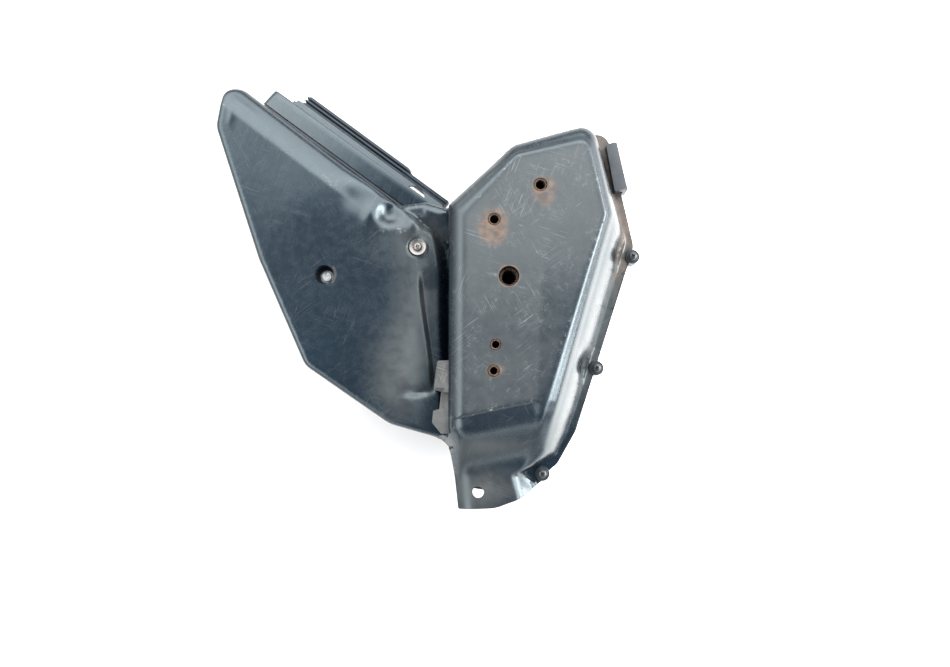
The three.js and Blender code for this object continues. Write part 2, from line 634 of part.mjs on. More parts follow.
// ---------- filter element ----------
const FRAME_BAR = 7;
const FRAME_FLANGE = 6;
const elementFrame = cut(
  joined(
    slantPlate(rectangle(ELEMENT, 0, 4), ELEMENT.front - FRAME_FLANGE, ELEMENT.front),
    slantPlate(rectangle(ELEMENT, 2, 3), ELEMENT.back, ELEMENT.front),
  ),
  slantPlate(rectangle(ELEMENT, FRAME_BAR, 0.4), ELEMENT.back - OPEN, ELEMENT.front + OPEN),
);
part('element_frame', onSlant(geometryOf(elementFrame)), BLACK_PLASTIC);

const PLEATS = 26;
const PAPER = 1.2;

function pleatedPack() {
  const start = ELEMENT.start + FRAME_BAR + 2 * GAP;
  const pitch = (ELEMENT.end - ELEMENT.start - 2 * FRAME_BAR - 4 * GAP) / PLEATS;
  const near = [];
  const far = [];
  for (let i = 0; i <= 2 * PLEATS; i += 1) {
    const along = start + (i * pitch) / 2;
    const depth = i % 2 ? ELEMENT.back + 5 : ELEMENT.front - 3 - PAPER;
    near.push(new THREE.Vector2(along, depth));
    far.unshift(new THREE.Vector2(along, depth + PAPER * 2.4));
  }
  const shape = new THREE.Shape([...near, ...far]);
  const height = ELEMENT.top - ELEMENT.bottom - 2 * FRAME_BAR - 2 * GAP;
  const geometry = new THREE.ExtrudeGeometry(shape, { depth: height, bevelEnabled: false });
  return geometry.translate(0, 0, ELEMENT.bottom + FRAME_BAR + GAP);
}

part('element_pleats', onSlant(pleatedPack()), FILTER_PAPER);

function supportMesh() {
  const window = rectangle(ELEMENT, FRAME_BAR + GAP, 0.4);
  const slots = [];
  const count = 9;
  const length = ELEMENT.end - ELEMENT.start - 2 * FRAME_BAR;
  for (let i = 0; i < count; i += 1) {
    const from = ELEMENT.start + FRAME_BAR + 2 + (i * (length - 2)) / count;
    const to = from + (length - 2) / count - 2;
    slots.push(box(from, to, -60, -20, ELEMENT.bottom + FRAME_BAR + 2, 66));
    slots.push(box(from, to, -60, -20, 68, ELEMENT.top - FRAME_BAR - 2));
  }
  return cut(joined(slantPlate(window, ELEMENT.back + 1, ELEMENT.back + 2.5)), ...slots);
}

part('element_grid', onSlant(geometryOf(supportMesh())), WIRE);

export default group;
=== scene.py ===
"""Weathered motorcycle air filter box, lying on its back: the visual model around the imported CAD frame.
Lengths are in millimetres until a mesh is made. The axes are the CAD's."""
import math

import bmesh
import bpy
import numpy as np
from mathutils import Matrix, Vector
from mathutils.geometry import delaunay_2d_cdt
from mathutils.kdtree import KDTree


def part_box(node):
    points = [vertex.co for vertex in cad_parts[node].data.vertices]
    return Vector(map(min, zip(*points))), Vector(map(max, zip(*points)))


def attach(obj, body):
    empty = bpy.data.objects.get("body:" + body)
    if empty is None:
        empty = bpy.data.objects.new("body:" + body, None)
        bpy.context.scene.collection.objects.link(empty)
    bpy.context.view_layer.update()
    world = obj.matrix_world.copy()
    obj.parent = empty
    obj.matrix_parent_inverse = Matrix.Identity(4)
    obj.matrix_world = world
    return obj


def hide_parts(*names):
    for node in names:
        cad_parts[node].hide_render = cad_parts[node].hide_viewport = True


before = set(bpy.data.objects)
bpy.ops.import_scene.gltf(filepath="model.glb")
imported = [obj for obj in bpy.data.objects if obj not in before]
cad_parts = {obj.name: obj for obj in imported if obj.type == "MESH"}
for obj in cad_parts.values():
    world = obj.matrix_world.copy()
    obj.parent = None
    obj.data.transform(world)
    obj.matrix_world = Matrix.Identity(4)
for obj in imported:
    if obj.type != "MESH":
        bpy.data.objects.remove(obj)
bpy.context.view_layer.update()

MM = 0.001
SLANT = math.radians(-37.1)  # direction of the lid's long side
ALONG = np.array([math.cos(SLANT), math.sin(SLANT)])
OUTWARD = np.array([-math.sin(SLANT), math.cos(SLANT)])

# ---------- sizes shared with the CAD ----------
WALL = 2.6
LEFT_BASE, LEFT_FACE, LEFT_FACE_LEFT_X, LEFT_FACE_SLOPE = 34, 126, -290, 0.08
RIGHT_BASE, RIGHT_FACE, FLANGE = 74, 136, 4
MOUTH_PLANE = -2.5
LID = dict(start=-324, end=-104, bottom=36, top=96, radius=8, depth=19.5)
MOUTH = dict(start=-312, end=-118, bottom=44, top=90, radius=5)
INTAKE = dict(start=-300, end=-163, bottom=40, top=66, radius=4)
ELEMENT = dict(start=-306, end=-124, bottom=47, top=87, radius=4, front=-8, back=-44)
RECESS_FLOOR = 103

LEFT_OUTLINE = [
    (-288, 214, 14), (-296, 158, 24), (-249, 22, 60), (-201, -84, 20),
    (-118, -141, 40), (-52.5, -160, 8), (-52.5, 34, 4),
]
RIGHT_BASE_OUTLINE = [
    (-50, 66, 4), (-50, -162, 10), (-14, -176, 16), (34, -181, 20),
    (58, -150, 24), (122, 46, 20), (92, 162, 16), (3, 138, 20),
]
RIGHT_SHOULDER_OUTLINE = [
    (-60, 75, 9), (-57.5, -152, 10), (-14, -168, 14), (26, -171, 14),
    (38, -148, 18), (104, 62, 18), (84, 157, 16), (4, 135, 16),
]
RIGHT_EDGE_OUTLINE = [
    (-52, 66, 4), (-51, -140, 8), (-14, -142, 10), (22, -136, 10),
    (32, -126, 12), (96, 61, 14), (80, 141, 12), (7, 124, 12),
]
RIGHT_FACE_OUTLINE = [
    (-43, 61, 4), (-43, -134, 4), (-14, -127, 8), (22, -120, 5),
    (34, -110, 6), (93, 60, 10), (77, 132, 8), (8, 118, 8),
]
# the right lobe runs on downwards into the duct, so its rings go past the duct's end
LOBE_BASE = [
    (-50, 66, 4), (-50, -240, 1), (34, -240, 1), (32, -206, 5), (25, -199, 4), (13, -189, 3), (24, -186, 8),
    (47, -172, 12), (58, -151, 20), (67, -127, 20), (122, 46, 20), (92, 162, 16), (3, 138, 20),
]
LOBE_SHOULDER = [
    (-60, 75, 9), (-60, -240, 1), (15, -240, 1), (14, -212, 10), (8.5, -189.5, 3), (20, -184, 5),
    (35, -171, 12), (44, -140, 20), (104, 62, 18), (84, 157, 16), (4, 135, 16),
]
LOBE_EDGE = [
    (-52, 66, 4), (-52, -140, 30), (-46, -178, 30), (-46, -240, 1), (9.5, -240, 1), (8.5, -212, 10),
    (2.5, -190.5, 4), (13, -186, 8), (27, -168, 14), (34, -140, 20), (96, 61, 14), (80, 141, 12),
    (7, 124, 12),
]
LOBE_FACE = [
    (-43, 61, 4), (-43, -136, 30), (-27, -178, 30), (-27, -240, 1), (7, -240, 1), (6, -213, 10),
    (-0.5, -191.5, 6), (8, -187, 8), (19, -166, 14), (27, -138, 20), (93, 60, 10), (77, 132, 8), (8, 118, 8),
]
FLANGE_OUTLINE = [
    (-50, 58, 6), (-50, -160, 8), (-14, -184, 12), (44, -186, 16),
    (66, -148, 24), (129, 42, 18), (104, 164, 14), (1, 142, 16),
]
DUCT_OUTLINE = [
    (-58, -140, 4), (-57, -176, 20), (-54, -196, 30), (-51, -225, 1), (-14, -223.5, 40),
    (12, -214, 40), (34, -197, 6), (44, -180, 6), (44, -140, 4),
]
HUMP_OUTLINE = [(-134, 77, 3), (-120, 40, 4), (-52, 40, 4), (-60, 76, 8), (-84, 84, 14)]
SADDLE_OUTLINE = [(-86, 40, 3), (-40, 40, 3), (-40, 84, 2), (-57, 79, 8), (-71, 71.5, 6), (-86, 80, 3)]
JOIN_OUTLINE = [(-66, -156, 2), (-38, -156, 2), (-38, 60, 2), (-66, 60, 2)]
FLANGE_SCREWS = ["flange_screw_" + place for place in ("upper", "middle", "lower")]
PANEL_SCREWS = [f"rear_panel_screw_{number}" for number in range(1, 5)]


def low_high(node):
    """The lowest and highest corners of a CAD node."""
    low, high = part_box(node)
    return low / MM, high / MM


def centre_of(node, height=0.0):
    """The place of a CAD node's upright axis, at a height."""
    low, high = low_high(node)
    return ((low.x + high.x) / 2, (low.y + high.y) / 2, height)


# ---------- outlines ----------
def rounded(corners, steps=8):
    """A closed outline of true arcs, with the same number of points at every corner."""
    points = []
    count = len(corners)
    for i, (x, y, radius) in enumerate(corners):
        here = np.array([x, y], float)
        back = np.array(corners[i - 1][:2], float) - here
        ahead = np.array(corners[(i + 1) % count][:2], float) - here
        room = 0.49 * min(np.linalg.norm(back), np.linalg.norm(ahead))
        back /= np.linalg.norm(back)
        ahead /= np.linalg.norm(ahead)
        half = math.acos(max(-1, min(1, back @ ahead))) / 2
        reach = min(radius / math.tan(half), room)
        arc = reach * math.tan(half)
        centre = here + (back + ahead) / np.linalg.norm(back + ahead) * arc / math.sin(half)
        start = np.arctan2(*(here + back * reach - centre)[::-1])
        turn = np.arctan2(*(here + ahead * reach - centre)[::-1]) - start
        turn = (turn + math.pi) % (2 * math.pi) - math.pi
        for k in range(steps + 1):
            angle = start + turn * k / steps
            points.append(centre + arc * np.array([math.cos(angle), math.sin(angle)]))
    return np.array(points)


def inset(corners, distance):
    """The outline moved inwards, with its corner radii shrunk to match."""
    moved = []
    count = len(corners)
    for i, (x, y, radius) in enumerate(corners):
        here = np.array([x, y], float)
        into = here - np.array(corners[i - 1][:2], float)
        out = np.array(corners[(i + 1) % count][:2], float) - here
        into /= np.linalg.norm(into)
        out /= np.linalg.norm(out)
        first = np.array([-into[1], into[0]])
        second = np.array([-out[1], out[0]])
        shift = (first + second) * distance / (1 + first @ second)
        moved.append((x + shift[0], y + shift[1], max(radius - distance, 0.6)))
    return moved


def depth(corners, places):
    """Distance of each place inside the outline, negative outside it."""
    outline = rounded(corners)
    nearest = np.full(len(places), 1e12)
    inside = np.zeros(len(places), bool)
    for p, q in zip(outline, np.roll(outline, -1, 0)):
        edge = q - p
        length = edge @ edge
        if length < 1e-9:
            continue
        offset = places - p
        t = np.clip(offset @ edge / length, 0, 1)
        nearest = np.minimum(nearest, ((offset - t[:, None] * edge) ** 2).sum(1))
        crosses = (p[1] <= places[:, 1]) != (q[1] <= places[:, 1])
        if abs(edge[1]) > 1e-9:
            inside ^= crosses & (places[:, 0] < p[0] + (places[:, 1] - p[1]) / edge[1] * edge[0])
    distance = np.sqrt(nearest)
    return np.where(inside, distance, -distance)


def smooth_max(a, b, blend):
    gap = np.clip(blend - np.abs(a - b), 0, None)
    return np.maximum(a, b) + gap * gap / (4 * blend)


def smoothstep(low, high, value):
    t = np.clip((value - low) / (high - low), 0, 1)
    return t * t * (3 - 2 * t)


def rectangle(size, margin=0, radius=None):
    radius = size["radius"] if radius is None else radius
    left, right = size["start"] + margin, size["end"] - margin
    low, high = size["bottom"] + margin, size["top"] - margin
    return [(left, low, radius), (right, low, radius), (right, high, radius), (left, high, radius)]


# ---------- meshes ----------
def new_object(name, vertices, faces, sharp=35):
    mesh = bpy.data.meshes.new(name)
    mesh.from_pydata([tuple(float(c) * MM for c in v) for v in vertices], [], faces)
    mesh.validate()
    obj = bpy.data.objects.new(name, mesh)
    bpy.context.scene.collection.objects.link(obj)
    shade(obj, sharp)
    return obj


def solid(name, vertices, faces, sharp=35):
    """A closed mesh with all its faces turned outwards."""
    obj = new_object(name, vertices, faces, sharp)
    fix_normals(obj)
    return obj


def shade(obj, sharp=35):
    obj.data.shade_smooth()
    obj.data.set_sharp_from_angle(angle=math.radians(sharp))


def stack(rings, closed=False):
    """Vertices and faces of a skin through rings of 3-D points. Open stacks are capped at both ends."""
    count = len(rings[0])
    vertices = np.concatenate(rings)
    faces = []
    levels = len(rings) if closed else len(rings) - 1
    for level in range(levels):
        low, high = level * count, (level + 1) % len(rings) * count
        for i in range(count):
            j = (i + 1) % count
            faces.append((low + i, low + j, high + j, high + i))
    if not closed:
        faces.append(tuple(reversed(range(count))))
        last = (len(rings) - 1) * count
        faces.append(tuple(last + i for i in range(count)))
    return vertices, faces


def flat_ring(corners, margin, height, steps=8):
    outline = rounded(inset(corners, margin), steps)
    return np.column_stack([outline, np.full(len(outline), height)])


def slant_ring(corners, margin, out, steps=6):
    """An outline drawn on the slanted side (along, up), at a distance out from it."""
    outline = rounded(inset(corners, margin), steps)
    flat = outline[:, :1] * ALONG + out * OUTWARD
    return np.column_stack([flat, outline[:, 1]])[::-1]


def lathe(name, profile, centre=(0, 0, 0), sides=48, axis=(0, 0, 1), sharp=35):
    """A turned piece. The profile is [(radius, height)], from axis to axis or a closed loop."""
    vertices, faces = [], []
    rows = []
    for radius, height in profile:
        if radius < 1e-6:
            rows.append([len(vertices)])
            vertices.append((0, 0, height))
        else:
            rows.append(list(range(len(vertices), len(vertices) + sides)))
            for k in range(sides):
                angle = 2 * math.pi * k / sides
                vertices.append((radius * math.cos(angle), radius * math.sin(angle), height))
    loops = list(zip(rows, rows[1:]))
    if len(rows[0]) > 1:
        loops.append((rows[-1], rows[0]))
    for low, high in loops:
        for k in range(sides):
            j = (k + 1) % sides
            if len(low) == 1 and len(high) > 1:
                faces.append((low[0], high[j], high[k]))
            elif len(high) == 1 and len(low) > 1:
                faces.append((low[k], low[j], high[0]))
            elif len(low) > 1:
                faces.append((low[k], low[j], high[j], high[k]))
    turn = Vector((0, 0, 1)).rotation_difference(Vector(axis)).to_matrix()
    moved = [turn @ Vector(v) + Vector(centre) for v in vertices]
    return solid(name, moved, faces, sharp)


def drill(place, radius, low, high, sides=24, axis=(0, 0, 1)):
    """A round cutter between two heights along its axis."""
    return lathe("cut", [(0, low), (radius, low), (radius, high), (0, high)], place, sides, axis)


def fix_normals(obj):
    work = bmesh.new()
    work.from_mesh(obj.data)
    bmesh.ops.recalc_face_normals(work, faces=work.faces)
    work.to_mesh(obj.data)
    work.free()


def prism(name, corners, low, high, steps=6, on_slant=False):
    make_ring = slant_ring if on_slant else flat_ring
    return solid(name, *stack([make_ring(corners, 0, low, steps), make_ring(corners, 0, high, steps)]))


def slant_shell(name, rows, steps=8):
    """A closed skin through rows of (outline, margin, distance out) on the slanted side."""
    rings = [slant_ring(corners, margin, out, steps) for corners, margin, out in rows]
    return solid(name, *stack(rings, closed=True))


def block(name, x0, x1, y0, y1, z0, z1):
    return prism(name, [(x0, y0, 0.2), (x1, y0, 0.2), (x1, y1, 0.2), (x0, y1, 0.2)], z0, z1, 1)


def slant_block(name, along0, along1, out0, out1, up0, up1):
    corners = [(along0, up0, 0.3), (along1, up0, 0.3), (along1, up1, 0.3), (along0, up1, 0.3)]
    return prism(name, corners, out0, out1, 1, on_slant=True)


def apply_modifiers(obj):
    graph = bpy.context.evaluated_depsgraph_get()
    mesh = bpy.data.meshes.new_from_object(obj.evaluated_get(graph))
    old = obj.data
    obj.modifiers.clear()
    obj.data = mesh
    mesh.name = obj.name
    bpy.data.meshes.remove(old)


def boolean(obj, tools, operation="DIFFERENCE"):
    """Cuts or joins the tools, which are used up."""
    for tool in tools:
        modifier = obj.modifiers.new("boolean", "BOOLEAN")
        modifier.operation = operation
        modifier.solver = "EXACT"
        modifier.object = tool
    bpy.context.view_layer.update()
    apply_modifiers(obj)
    for tool in tools:
        bpy.data.objects.remove(tool)
    return obj


def merged(name, objects):
    """Several closed solids as the parts of one object."""
    work = bmesh.new()
    for obj in objects:
        work.from_mesh(obj.data)
        bpy.data.objects.remove(obj)
    mesh = bpy.data.meshes.new(name)
    work.to_mesh(mesh)
    work.free()
    obj = bpy.data.objects.new(name, mesh)
    bpy.context.scene.collection.objects.link(obj)
    return obj


def bevel(obj, width, segments=2, angle=30):
    modifier = obj.modifiers.new("bevel", "BEVEL")
    modifier.width = width * MM
    modifier.segments = segments
    modifier.limit_method = "ANGLE"
    modifier.angle_limit = math.radians(angle)
    modifier.harden_normals = False
    bpy.context.view_layer.update()
    apply_modifiers(obj)
    shade(obj, 40)
    return obj


def finish_piece(obj, body, slot, material, *nodes):
    obj.data.materials.clear()
    obj.data.materials.append(material)
    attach(obj, body)
    if nodes:
        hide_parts(*nodes)
    return obj


# ---------- material nodes ----------
class Tree:
    """Short calls for building a node tree."""

    def __init__(self, tree):
        self.tree = tree
        self.tree.nodes.clear()

    def add(self, kind, **values):
        node = self.tree.nodes.new(kind)
        for key, value in values.items():
            setattr(node, key, value)
        return node

    def link(self, source, target):
        self.tree.links.new(source, target)

    def feed(self, socket, value):
        if isinstance(value, bpy.types.NodeSocket):
            self.link(value, socket)
        elif isinstance(value, (tuple, list)) and len(value) == 3 and socket.type == "RGBA":
            socket.default_value = (*value, 1)
        else:
            socket.default_value = value

    def math(self, operation, a, b=0.0, clamp=False):
        node = self.add("ShaderNodeMath", operation=operation, use_clamp=clamp)
        self.feed(node.inputs[0], a)
        self.feed(node.inputs[1], b)
        return node.outputs[0]

    def ramp(self, value, low, high, out_low=0.0, out_high=1.0):
        node = self.add("ShaderNodeMapRange", interpolation_type="SMOOTHSTEP")
        self.feed(node.inputs["Value"], value)
        node.inputs["From Min"].default_value = low
        node.inputs["From Max"].default_value = high
        node.inputs["To Min"].default_value = out_low
        node.inputs["To Max"].default_value = out_high
        return node.outputs[0]

    def above(self, direction_or_place):
        """The height of a direction or a place."""
        split = self.add("ShaderNodeSeparateXYZ")
        self.link(direction_or_place, split.inputs[0])
        return split.outputs["Z"]


class Nodes(Tree):
    """The node tree of a material."""

    def __init__(self, name):
        self.material = bpy.data.materials.new(name)
        self.material.use_nodes = True
        super().__init__(self.material.node_tree)
        self.shader = self.add("ShaderNodeBsdfPrincipled")
        output = self.add("ShaderNodeOutputMaterial")
        self.link(self.shader.outputs[0], output.inputs[0])
        self.place = self.add("ShaderNodeTexCoord").outputs["Object"]

    def scaled(self, scale, turn=(0, 0, 0), start=(0, 0, 0)):
        """The place from a start, turned first, then stretched by a scale along each turned axis."""
        node = self.add("ShaderNodeMapping", vector_type="TEXTURE")
        self.link(self.place, node.inputs["Vector"])
        node.inputs["Location"].default_value = start
        node.inputs["Scale"].default_value = tuple(1 / s for s in scale)
        node.inputs["Rotation"].default_value = turn
        return node.outputs[0]

    def noise(self, scale, detail=4.0, roughness=0.55, vector=None, distortion=0.0):
        node = self.add("ShaderNodeTexNoise")
        self.link(vector or self.place, node.inputs["Vector"])
        node.inputs["Scale"].default_value = scale
        node.inputs["Detail"].default_value = detail
        node.inputs["Roughness"].default_value = roughness
        node.inputs["Distortion"].default_value = distortion
        return node.outputs[0]

    def spots(self, scale, vector=None, randomness=1.0):
        node = self.add("ShaderNodeTexVoronoi")
        self.link(vector or self.place, node.inputs["Vector"])
        node.inputs["Scale"].default_value = scale
        node.inputs["Randomness"].default_value = randomness
        return node.outputs["Distance"]

    def mix(self, factor, a, b):
        node = self.add("ShaderNodeMix", data_type="RGBA")
        self.feed(node.inputs[0], factor)
        self.feed(node.inputs[6], a)
        self.feed(node.inputs[7], b)
        return node.outputs[2]

    def mask(self, name):
        """The channels of a colour attribute of the mesh."""
        node = self.add("ShaderNodeAttribute", attribute_name=name)
        split = self.add("ShaderNodeSeparateColor")
        self.link(node.outputs["Color"], split.inputs[0])
        return (*split.outputs, node.outputs["Alpha"])

    def bump(self, height, strength, distance, after=None):
        node = self.add("ShaderNodeBump")
        node.inputs["Strength"].default_value = strength
        node.inputs["Distance"].default_value = distance * MM
        self.link(height, node.inputs["Height"])
        if after is not None:
            self.link(after, node.inputs["Normal"])
        return node.outputs[0]

    def streaks(self, turn, width=1500.0, length=30.0, low=0.64, high=0.72):
        """Thin scratches that run one way, broken up so that they come in bouts."""
        start = (0.7 + turn, 0.9 - 1.7 * turn, 0.3)
        lines = self.noise(1.0, 1.0, 0.5, self.scaled((width, length, 60.0), (0, 0, turn), start), 0.7)
        bouts = self.noise(26.0, 2.0, 0.5, self.scaled((1, 1, 1), (0.3, 0.1, turn), start))
        return self.math("MULTIPLY", self.ramp(lines, low, high), self.ramp(bouts, 0.54, 0.66))


def scuffs(n):
    """Pale scratches in four directions and small nicks, from 0 to 1."""
    total = n.streaks(0.5)
    for turn in (-0.35, 1.25, 2.2):
        total = n.math("MAXIMUM", total, n.streaks(turn))
    nicks = n.ramp(n.spots(520.0, n.scaled((1, 0.6, 1), (0, 0, 0.8))), 0.16, 0.06)
    rare = n.ramp(n.noise(46.0, 3.0, 0.6), 0.62, 0.7)
    return n.math("MAXIMUM", total, n.math("MULTIPLY", nicks, rare))


def case_plastic():
    """Satin moulded plastic. Mask channels: right lobe's wear with painted light, edge wear, rust, dust with
    painted shade.
    """
    n = Nodes("weathered_case_plastic")
    right, wear, rust, dust = n.mask("mask")
    cloud = n.noise(9.0, 5.0, 0.6)
    fine = n.noise(120.0, 5.0, 0.65)
    n.feed(n.shader.inputs["IOR"], 1.58)
    n.feed(n.shader.inputs["Specular Tint"], (0.80, 0.95, 1.0))
    plain = n.mix(n.ramp(cloud, 0.35, 0.65), (0.0014, 0.0046, 0.0092), (0.0026, 0.0070, 0.0125))
    film = n.noise(300.0, 6.0, 0.72)
    worn = n.mix(n.ramp(cloud, 0.3, 0.7), (0.0215, 0.0228, 0.0248), (0.035, 0.0362, 0.0385))
    worn = n.mix(n.ramp(film, 0.3, 0.7, 0.0, 0.45), worn, (0.012, 0.013, 0.0135))
    # the right-lobe channel is greyer wear plus painted light that pales the face towards the top
    colour = n.mix(right, plain, worn)
    # the dust channel also carries painted shade in that trough and painted light along the lid
    patches = n.math("MULTIPLY", dust, n.ramp(n.noise(30.0, 7.0, 0.68), 0.25, 0.78, 0.45, 0.9))
    colour = n.mix(n.math("MULTIPLY", patches, 0.7), colour, (0.068, 0.064, 0.056))
    marks = scuffs(n)
    shown = n.math("ADD", n.math("MULTIPLY", right, 0.55), 0.22)
    colour = n.mix(n.math("MULTIPLY", marks, shown), colour, (0.12, 0.125, 0.125))
    chips = n.ramp(n.noise(210.0, 7.0, 0.8), 0.53, 0.63)
    chips = n.math("MULTIPLY", chips, n.ramp(n.noise(38.0, 3.0, 0.6), 0.42, 0.6))
    chips = n.math("MULTIPLY", chips, wear)
    colour = n.mix(chips, colour, (0.25, 0.262, 0.268))
    stain = n.math("MULTIPLY", n.ramp(rust, 0.1, 0.55), n.ramp(n.noise(85.0, 7.0, 0.75), 0.3, 0.6, 0.3, 0.92))
    rust_colour = n.mix(n.ramp(fine, 0.35, 0.65), (0.045, 0.024, 0.014), (0.115, 0.067, 0.041))
    colour = n.mix(stain, colour, rust_colour)
    n.feed(n.shader.inputs["Base Color"], colour)
    rough = n.math("ADD", n.ramp(fine, 0.3, 0.7, 0.2, 0.27), n.math("MULTIPLY", right, 0.22))
    rough = n.math("ADD", rough, n.math("MULTIPLY", n.math("MAXIMUM", patches, stain), 0.35), clamp=True)
    n.feed(n.shader.inputs["Roughness"], rough)
    grain = n.bump(n.noise(900.0, 3.0, 0.6), 0.12, 0.25)
    waves = n.bump(n.noise(26.0, 2.0, 0.5), 0.10, 1.6, grain)
    drawn = n.noise(1.0, 3.0, 0.6, n.scaled((10, 150, 10), (0, 0, 1.26)))
    waves = n.bump(drawn, 0.12, 0.6, waves)
    n.feed(n.shader.inputs["Normal"], n.bump(marks, 0.08, 0.1, waves))
    return n.material


def plain_plastic(name, dark, light, rough, wear=0.5):
    n = Nodes(name)
    cloud = n.noise(16.0, 5.0, 0.6)
    marks = scuffs(n)
    colour = n.mix(n.ramp(cloud, 0.3, 0.7), dark, light)
    dust = n.ramp(n.noise(48.0, 6.0, 0.7), 0.5, 0.8)
    colour = n.mix(n.math("MULTIPLY", dust, 0.35 * wear), colour, (0.1, 0.097, 0.09))
    colour = n.mix(n.math("MULTIPLY", marks, wear), colour, (0.17, 0.175, 0.175))
    n.feed(n.shader.inputs["Base Color"], colour)
    rough_now = n.ramp(n.noise(150.0, 4.0, 0.6), 0.3, 0.7, rough - 0.06, rough + 0.1)
    n.feed(n.shader.inputs["Roughness"], rough_now)
    grain = n.bump(n.noise(900.0, 3.0, 0.6), 0.15, 0.25)
    n.feed(n.shader.inputs["Normal"], n.bump(marks, 0.25, 0.15, grain))
    return n.material


def rubber(name, dark, light, dusty=(0.08, 0.074, 0.063), smooth=0.5):
    n = Nodes(name)
    colour = n.mix(n.ramp(n.noise(30.0, 5.0, 0.6), 0.3, 0.7), dark, light)
    film = n.ramp(n.noise(75.0, 6.0, 0.72), 0.46, 0.75)
    colour = n.mix(n.math("MULTIPLY", film, 0.5), colour, dusty)
    n.feed(n.shader.inputs["Base Color"], colour)
    n.feed(n.shader.inputs["Roughness"], n.ramp(film, 0.0, 1.0, smooth, smooth + 0.3))
    cracks = n.bump(n.noise(420.0, 4.0, 0.7), 0.3, 0.3)
    n.feed(n.shader.inputs["Normal"], cracks)
    return n.material


def steel(name, base, rough, rust=0.0, metallic=1.0, shade_below=None):
    """Plated or rusted steel. Below a height, given in millimetres, bores are painted near black as painted
    shade.
    """
    n = Nodes(name)
    brushed = n.noise(1.0, 3.0, 0.6, n.scaled((700, 700, 120)))
    blotch = n.noise(180.0, 5.0, 0.7)
    covered = n.ramp(blotch, 0.62 - 0.5 * rust, 0.78 - 0.4 * rust)
    fine = n.noise(520.0, 5.0, 0.7)
    rust_colour = n.mix(n.ramp(fine, 0.35, 0.65), (0.024, 0.012, 0.0075), (0.095, 0.05, 0.028))
    tone = n.mix(n.ramp(brushed, 0.3, 0.7), tuple(c * 0.8 for c in base), base)
    colour = n.mix(covered, tone, rust_colour)
    if shade_below is not None:
        # painted shade: below the height the bore's colour goes near black
        painted_bore_shade = n.ramp(n.above(n.place), (shade_below - 1) * MM, shade_below * MM, 1.0, 0.0)
        colour = n.mix(painted_bore_shade, colour, (0.006, 0.005, 0.004))
    n.feed(n.shader.inputs["Base Color"], colour)
    n.feed(n.shader.inputs["Metallic"], n.ramp(covered, 0.0, 1.0, metallic, 0.05))
    rough_now = n.ramp(brushed, 0.3, 0.7, rough - 0.05, rough + 0.1)
    rough_now = n.math("ADD", rough_now, n.math("MULTIPLY", covered, 0.5))
    n.feed(n.shader.inputs["Roughness"], rough_now)
    n.feed(n.shader.inputs["Normal"], n.bump(n.noise(650.0, 4.0, 0.7), 0.12 + 0.4 * rust, 0.12))
    return n.material


def filter_paper():
    n = Nodes("pleated_filter_paper")
    colour = n.mix(n.ramp(n.noise(60.0, 5.0, 0.6), 0.3, 0.7), (0.22, 0.16, 0.08), (0.30, 0.23, 0.13))
    colour = n.mix(n.ramp(n.noise(25.0, 5.0, 0.7), 0.5, 0.75), colour, (0.085, 0.062, 0.04))
    n.feed(n.shader.inputs["Base Color"], colour)
    n.feed(n.shader.inputs["Roughness"], 0.9)
    n.feed(n.shader.inputs["Normal"], n.bump(n.noise(1500.0, 3.0, 0.6), 0.35, 0.1))
    return n.material


CASE = case_plastic()
COVER = plain_plastic(
    "rear_cover_plastic", (0.008, 0.010, 0.012), (0.015, 0.017, 0.019), rough=0.4, wear=0.4,
)
CLIP = plain_plastic(
    "hose_clip_plastic", (0.021, 0.0215, 0.022), (0.048, 0.048, 0.0465), rough=0.45, wear=0.8,
)
SEAL_RUBBER = rubber(
    "ribbed_seal_rubber", (0.007, 0.013, 0.021), (0.015, 0.025, 0.036), (0.05, 0.06, 0.07), smooth=0.36,
)
EDGE_RUBBER = rubber("edge_block_rubber", (0.016, 0.020, 0.026), (0.028, 0.033, 0.040), (0.07, 0.07, 0.068))
BOOT_RUBBER = rubber("outlet_boot_rubber", (0.006, 0.006, 0.0065), (0.014, 0.014, 0.014))
BRIGHT_STEEL = steel("zinc_plated_steel", (0.7, 0.69, 0.67), rough=0.36)
# a whiter, barely metallic copy of plated steel: painted light that makes the recess screw and its washer
# look lit
ZINC_STEEL_PAINTED_LIGHT = steel("zinc_steel_painted_light", (0.78, 0.77, 0.75), rough=0.35, metallic=0.2)
DULL_STEEL = steel("dull_plated_steel", (0.22, 0.21, 0.2), rough=0.4, rust=0.1)
BLACK_STEEL = steel("black_oxide_steel", (0.05, 0.053, 0.057), rough=0.34, metallic=0.5)
WORN_STEEL = (0.16, 0.15, 0.14)
# the rusted inserts and sleeve also get painted shade, near black, down their bores
RUSTY_STEEL_SHADED_BORE = steel("rusted_steel_shaded_bore", WORN_STEEL, rough=0.5, rust=0.9, shade_below=RIGHT_FACE - 1.4)
SLEEVE_STEEL_SHADED_BORE = steel("rusted_sleeve_shaded_bore", WORN_STEEL, rough=0.5, rust=0.9, shade_below=RIGHT_FACE - 8.2)
PAPER = filter_paper()

# ---------- main case: one moulded skin ----------
GRID = 2.1
FLANGE_TOP = RIGHT_BASE + FLANGE
HUMP_TOP, HUMP_UNDER = 104, 97
NOWHERE = -1e3  # the height of a surface past its own edge
LID_SHOULDER = -31  # how far out from the lid's plane the left face starts to fall


def along_out(places):
    return places @ ALONG, places @ OUTWARD


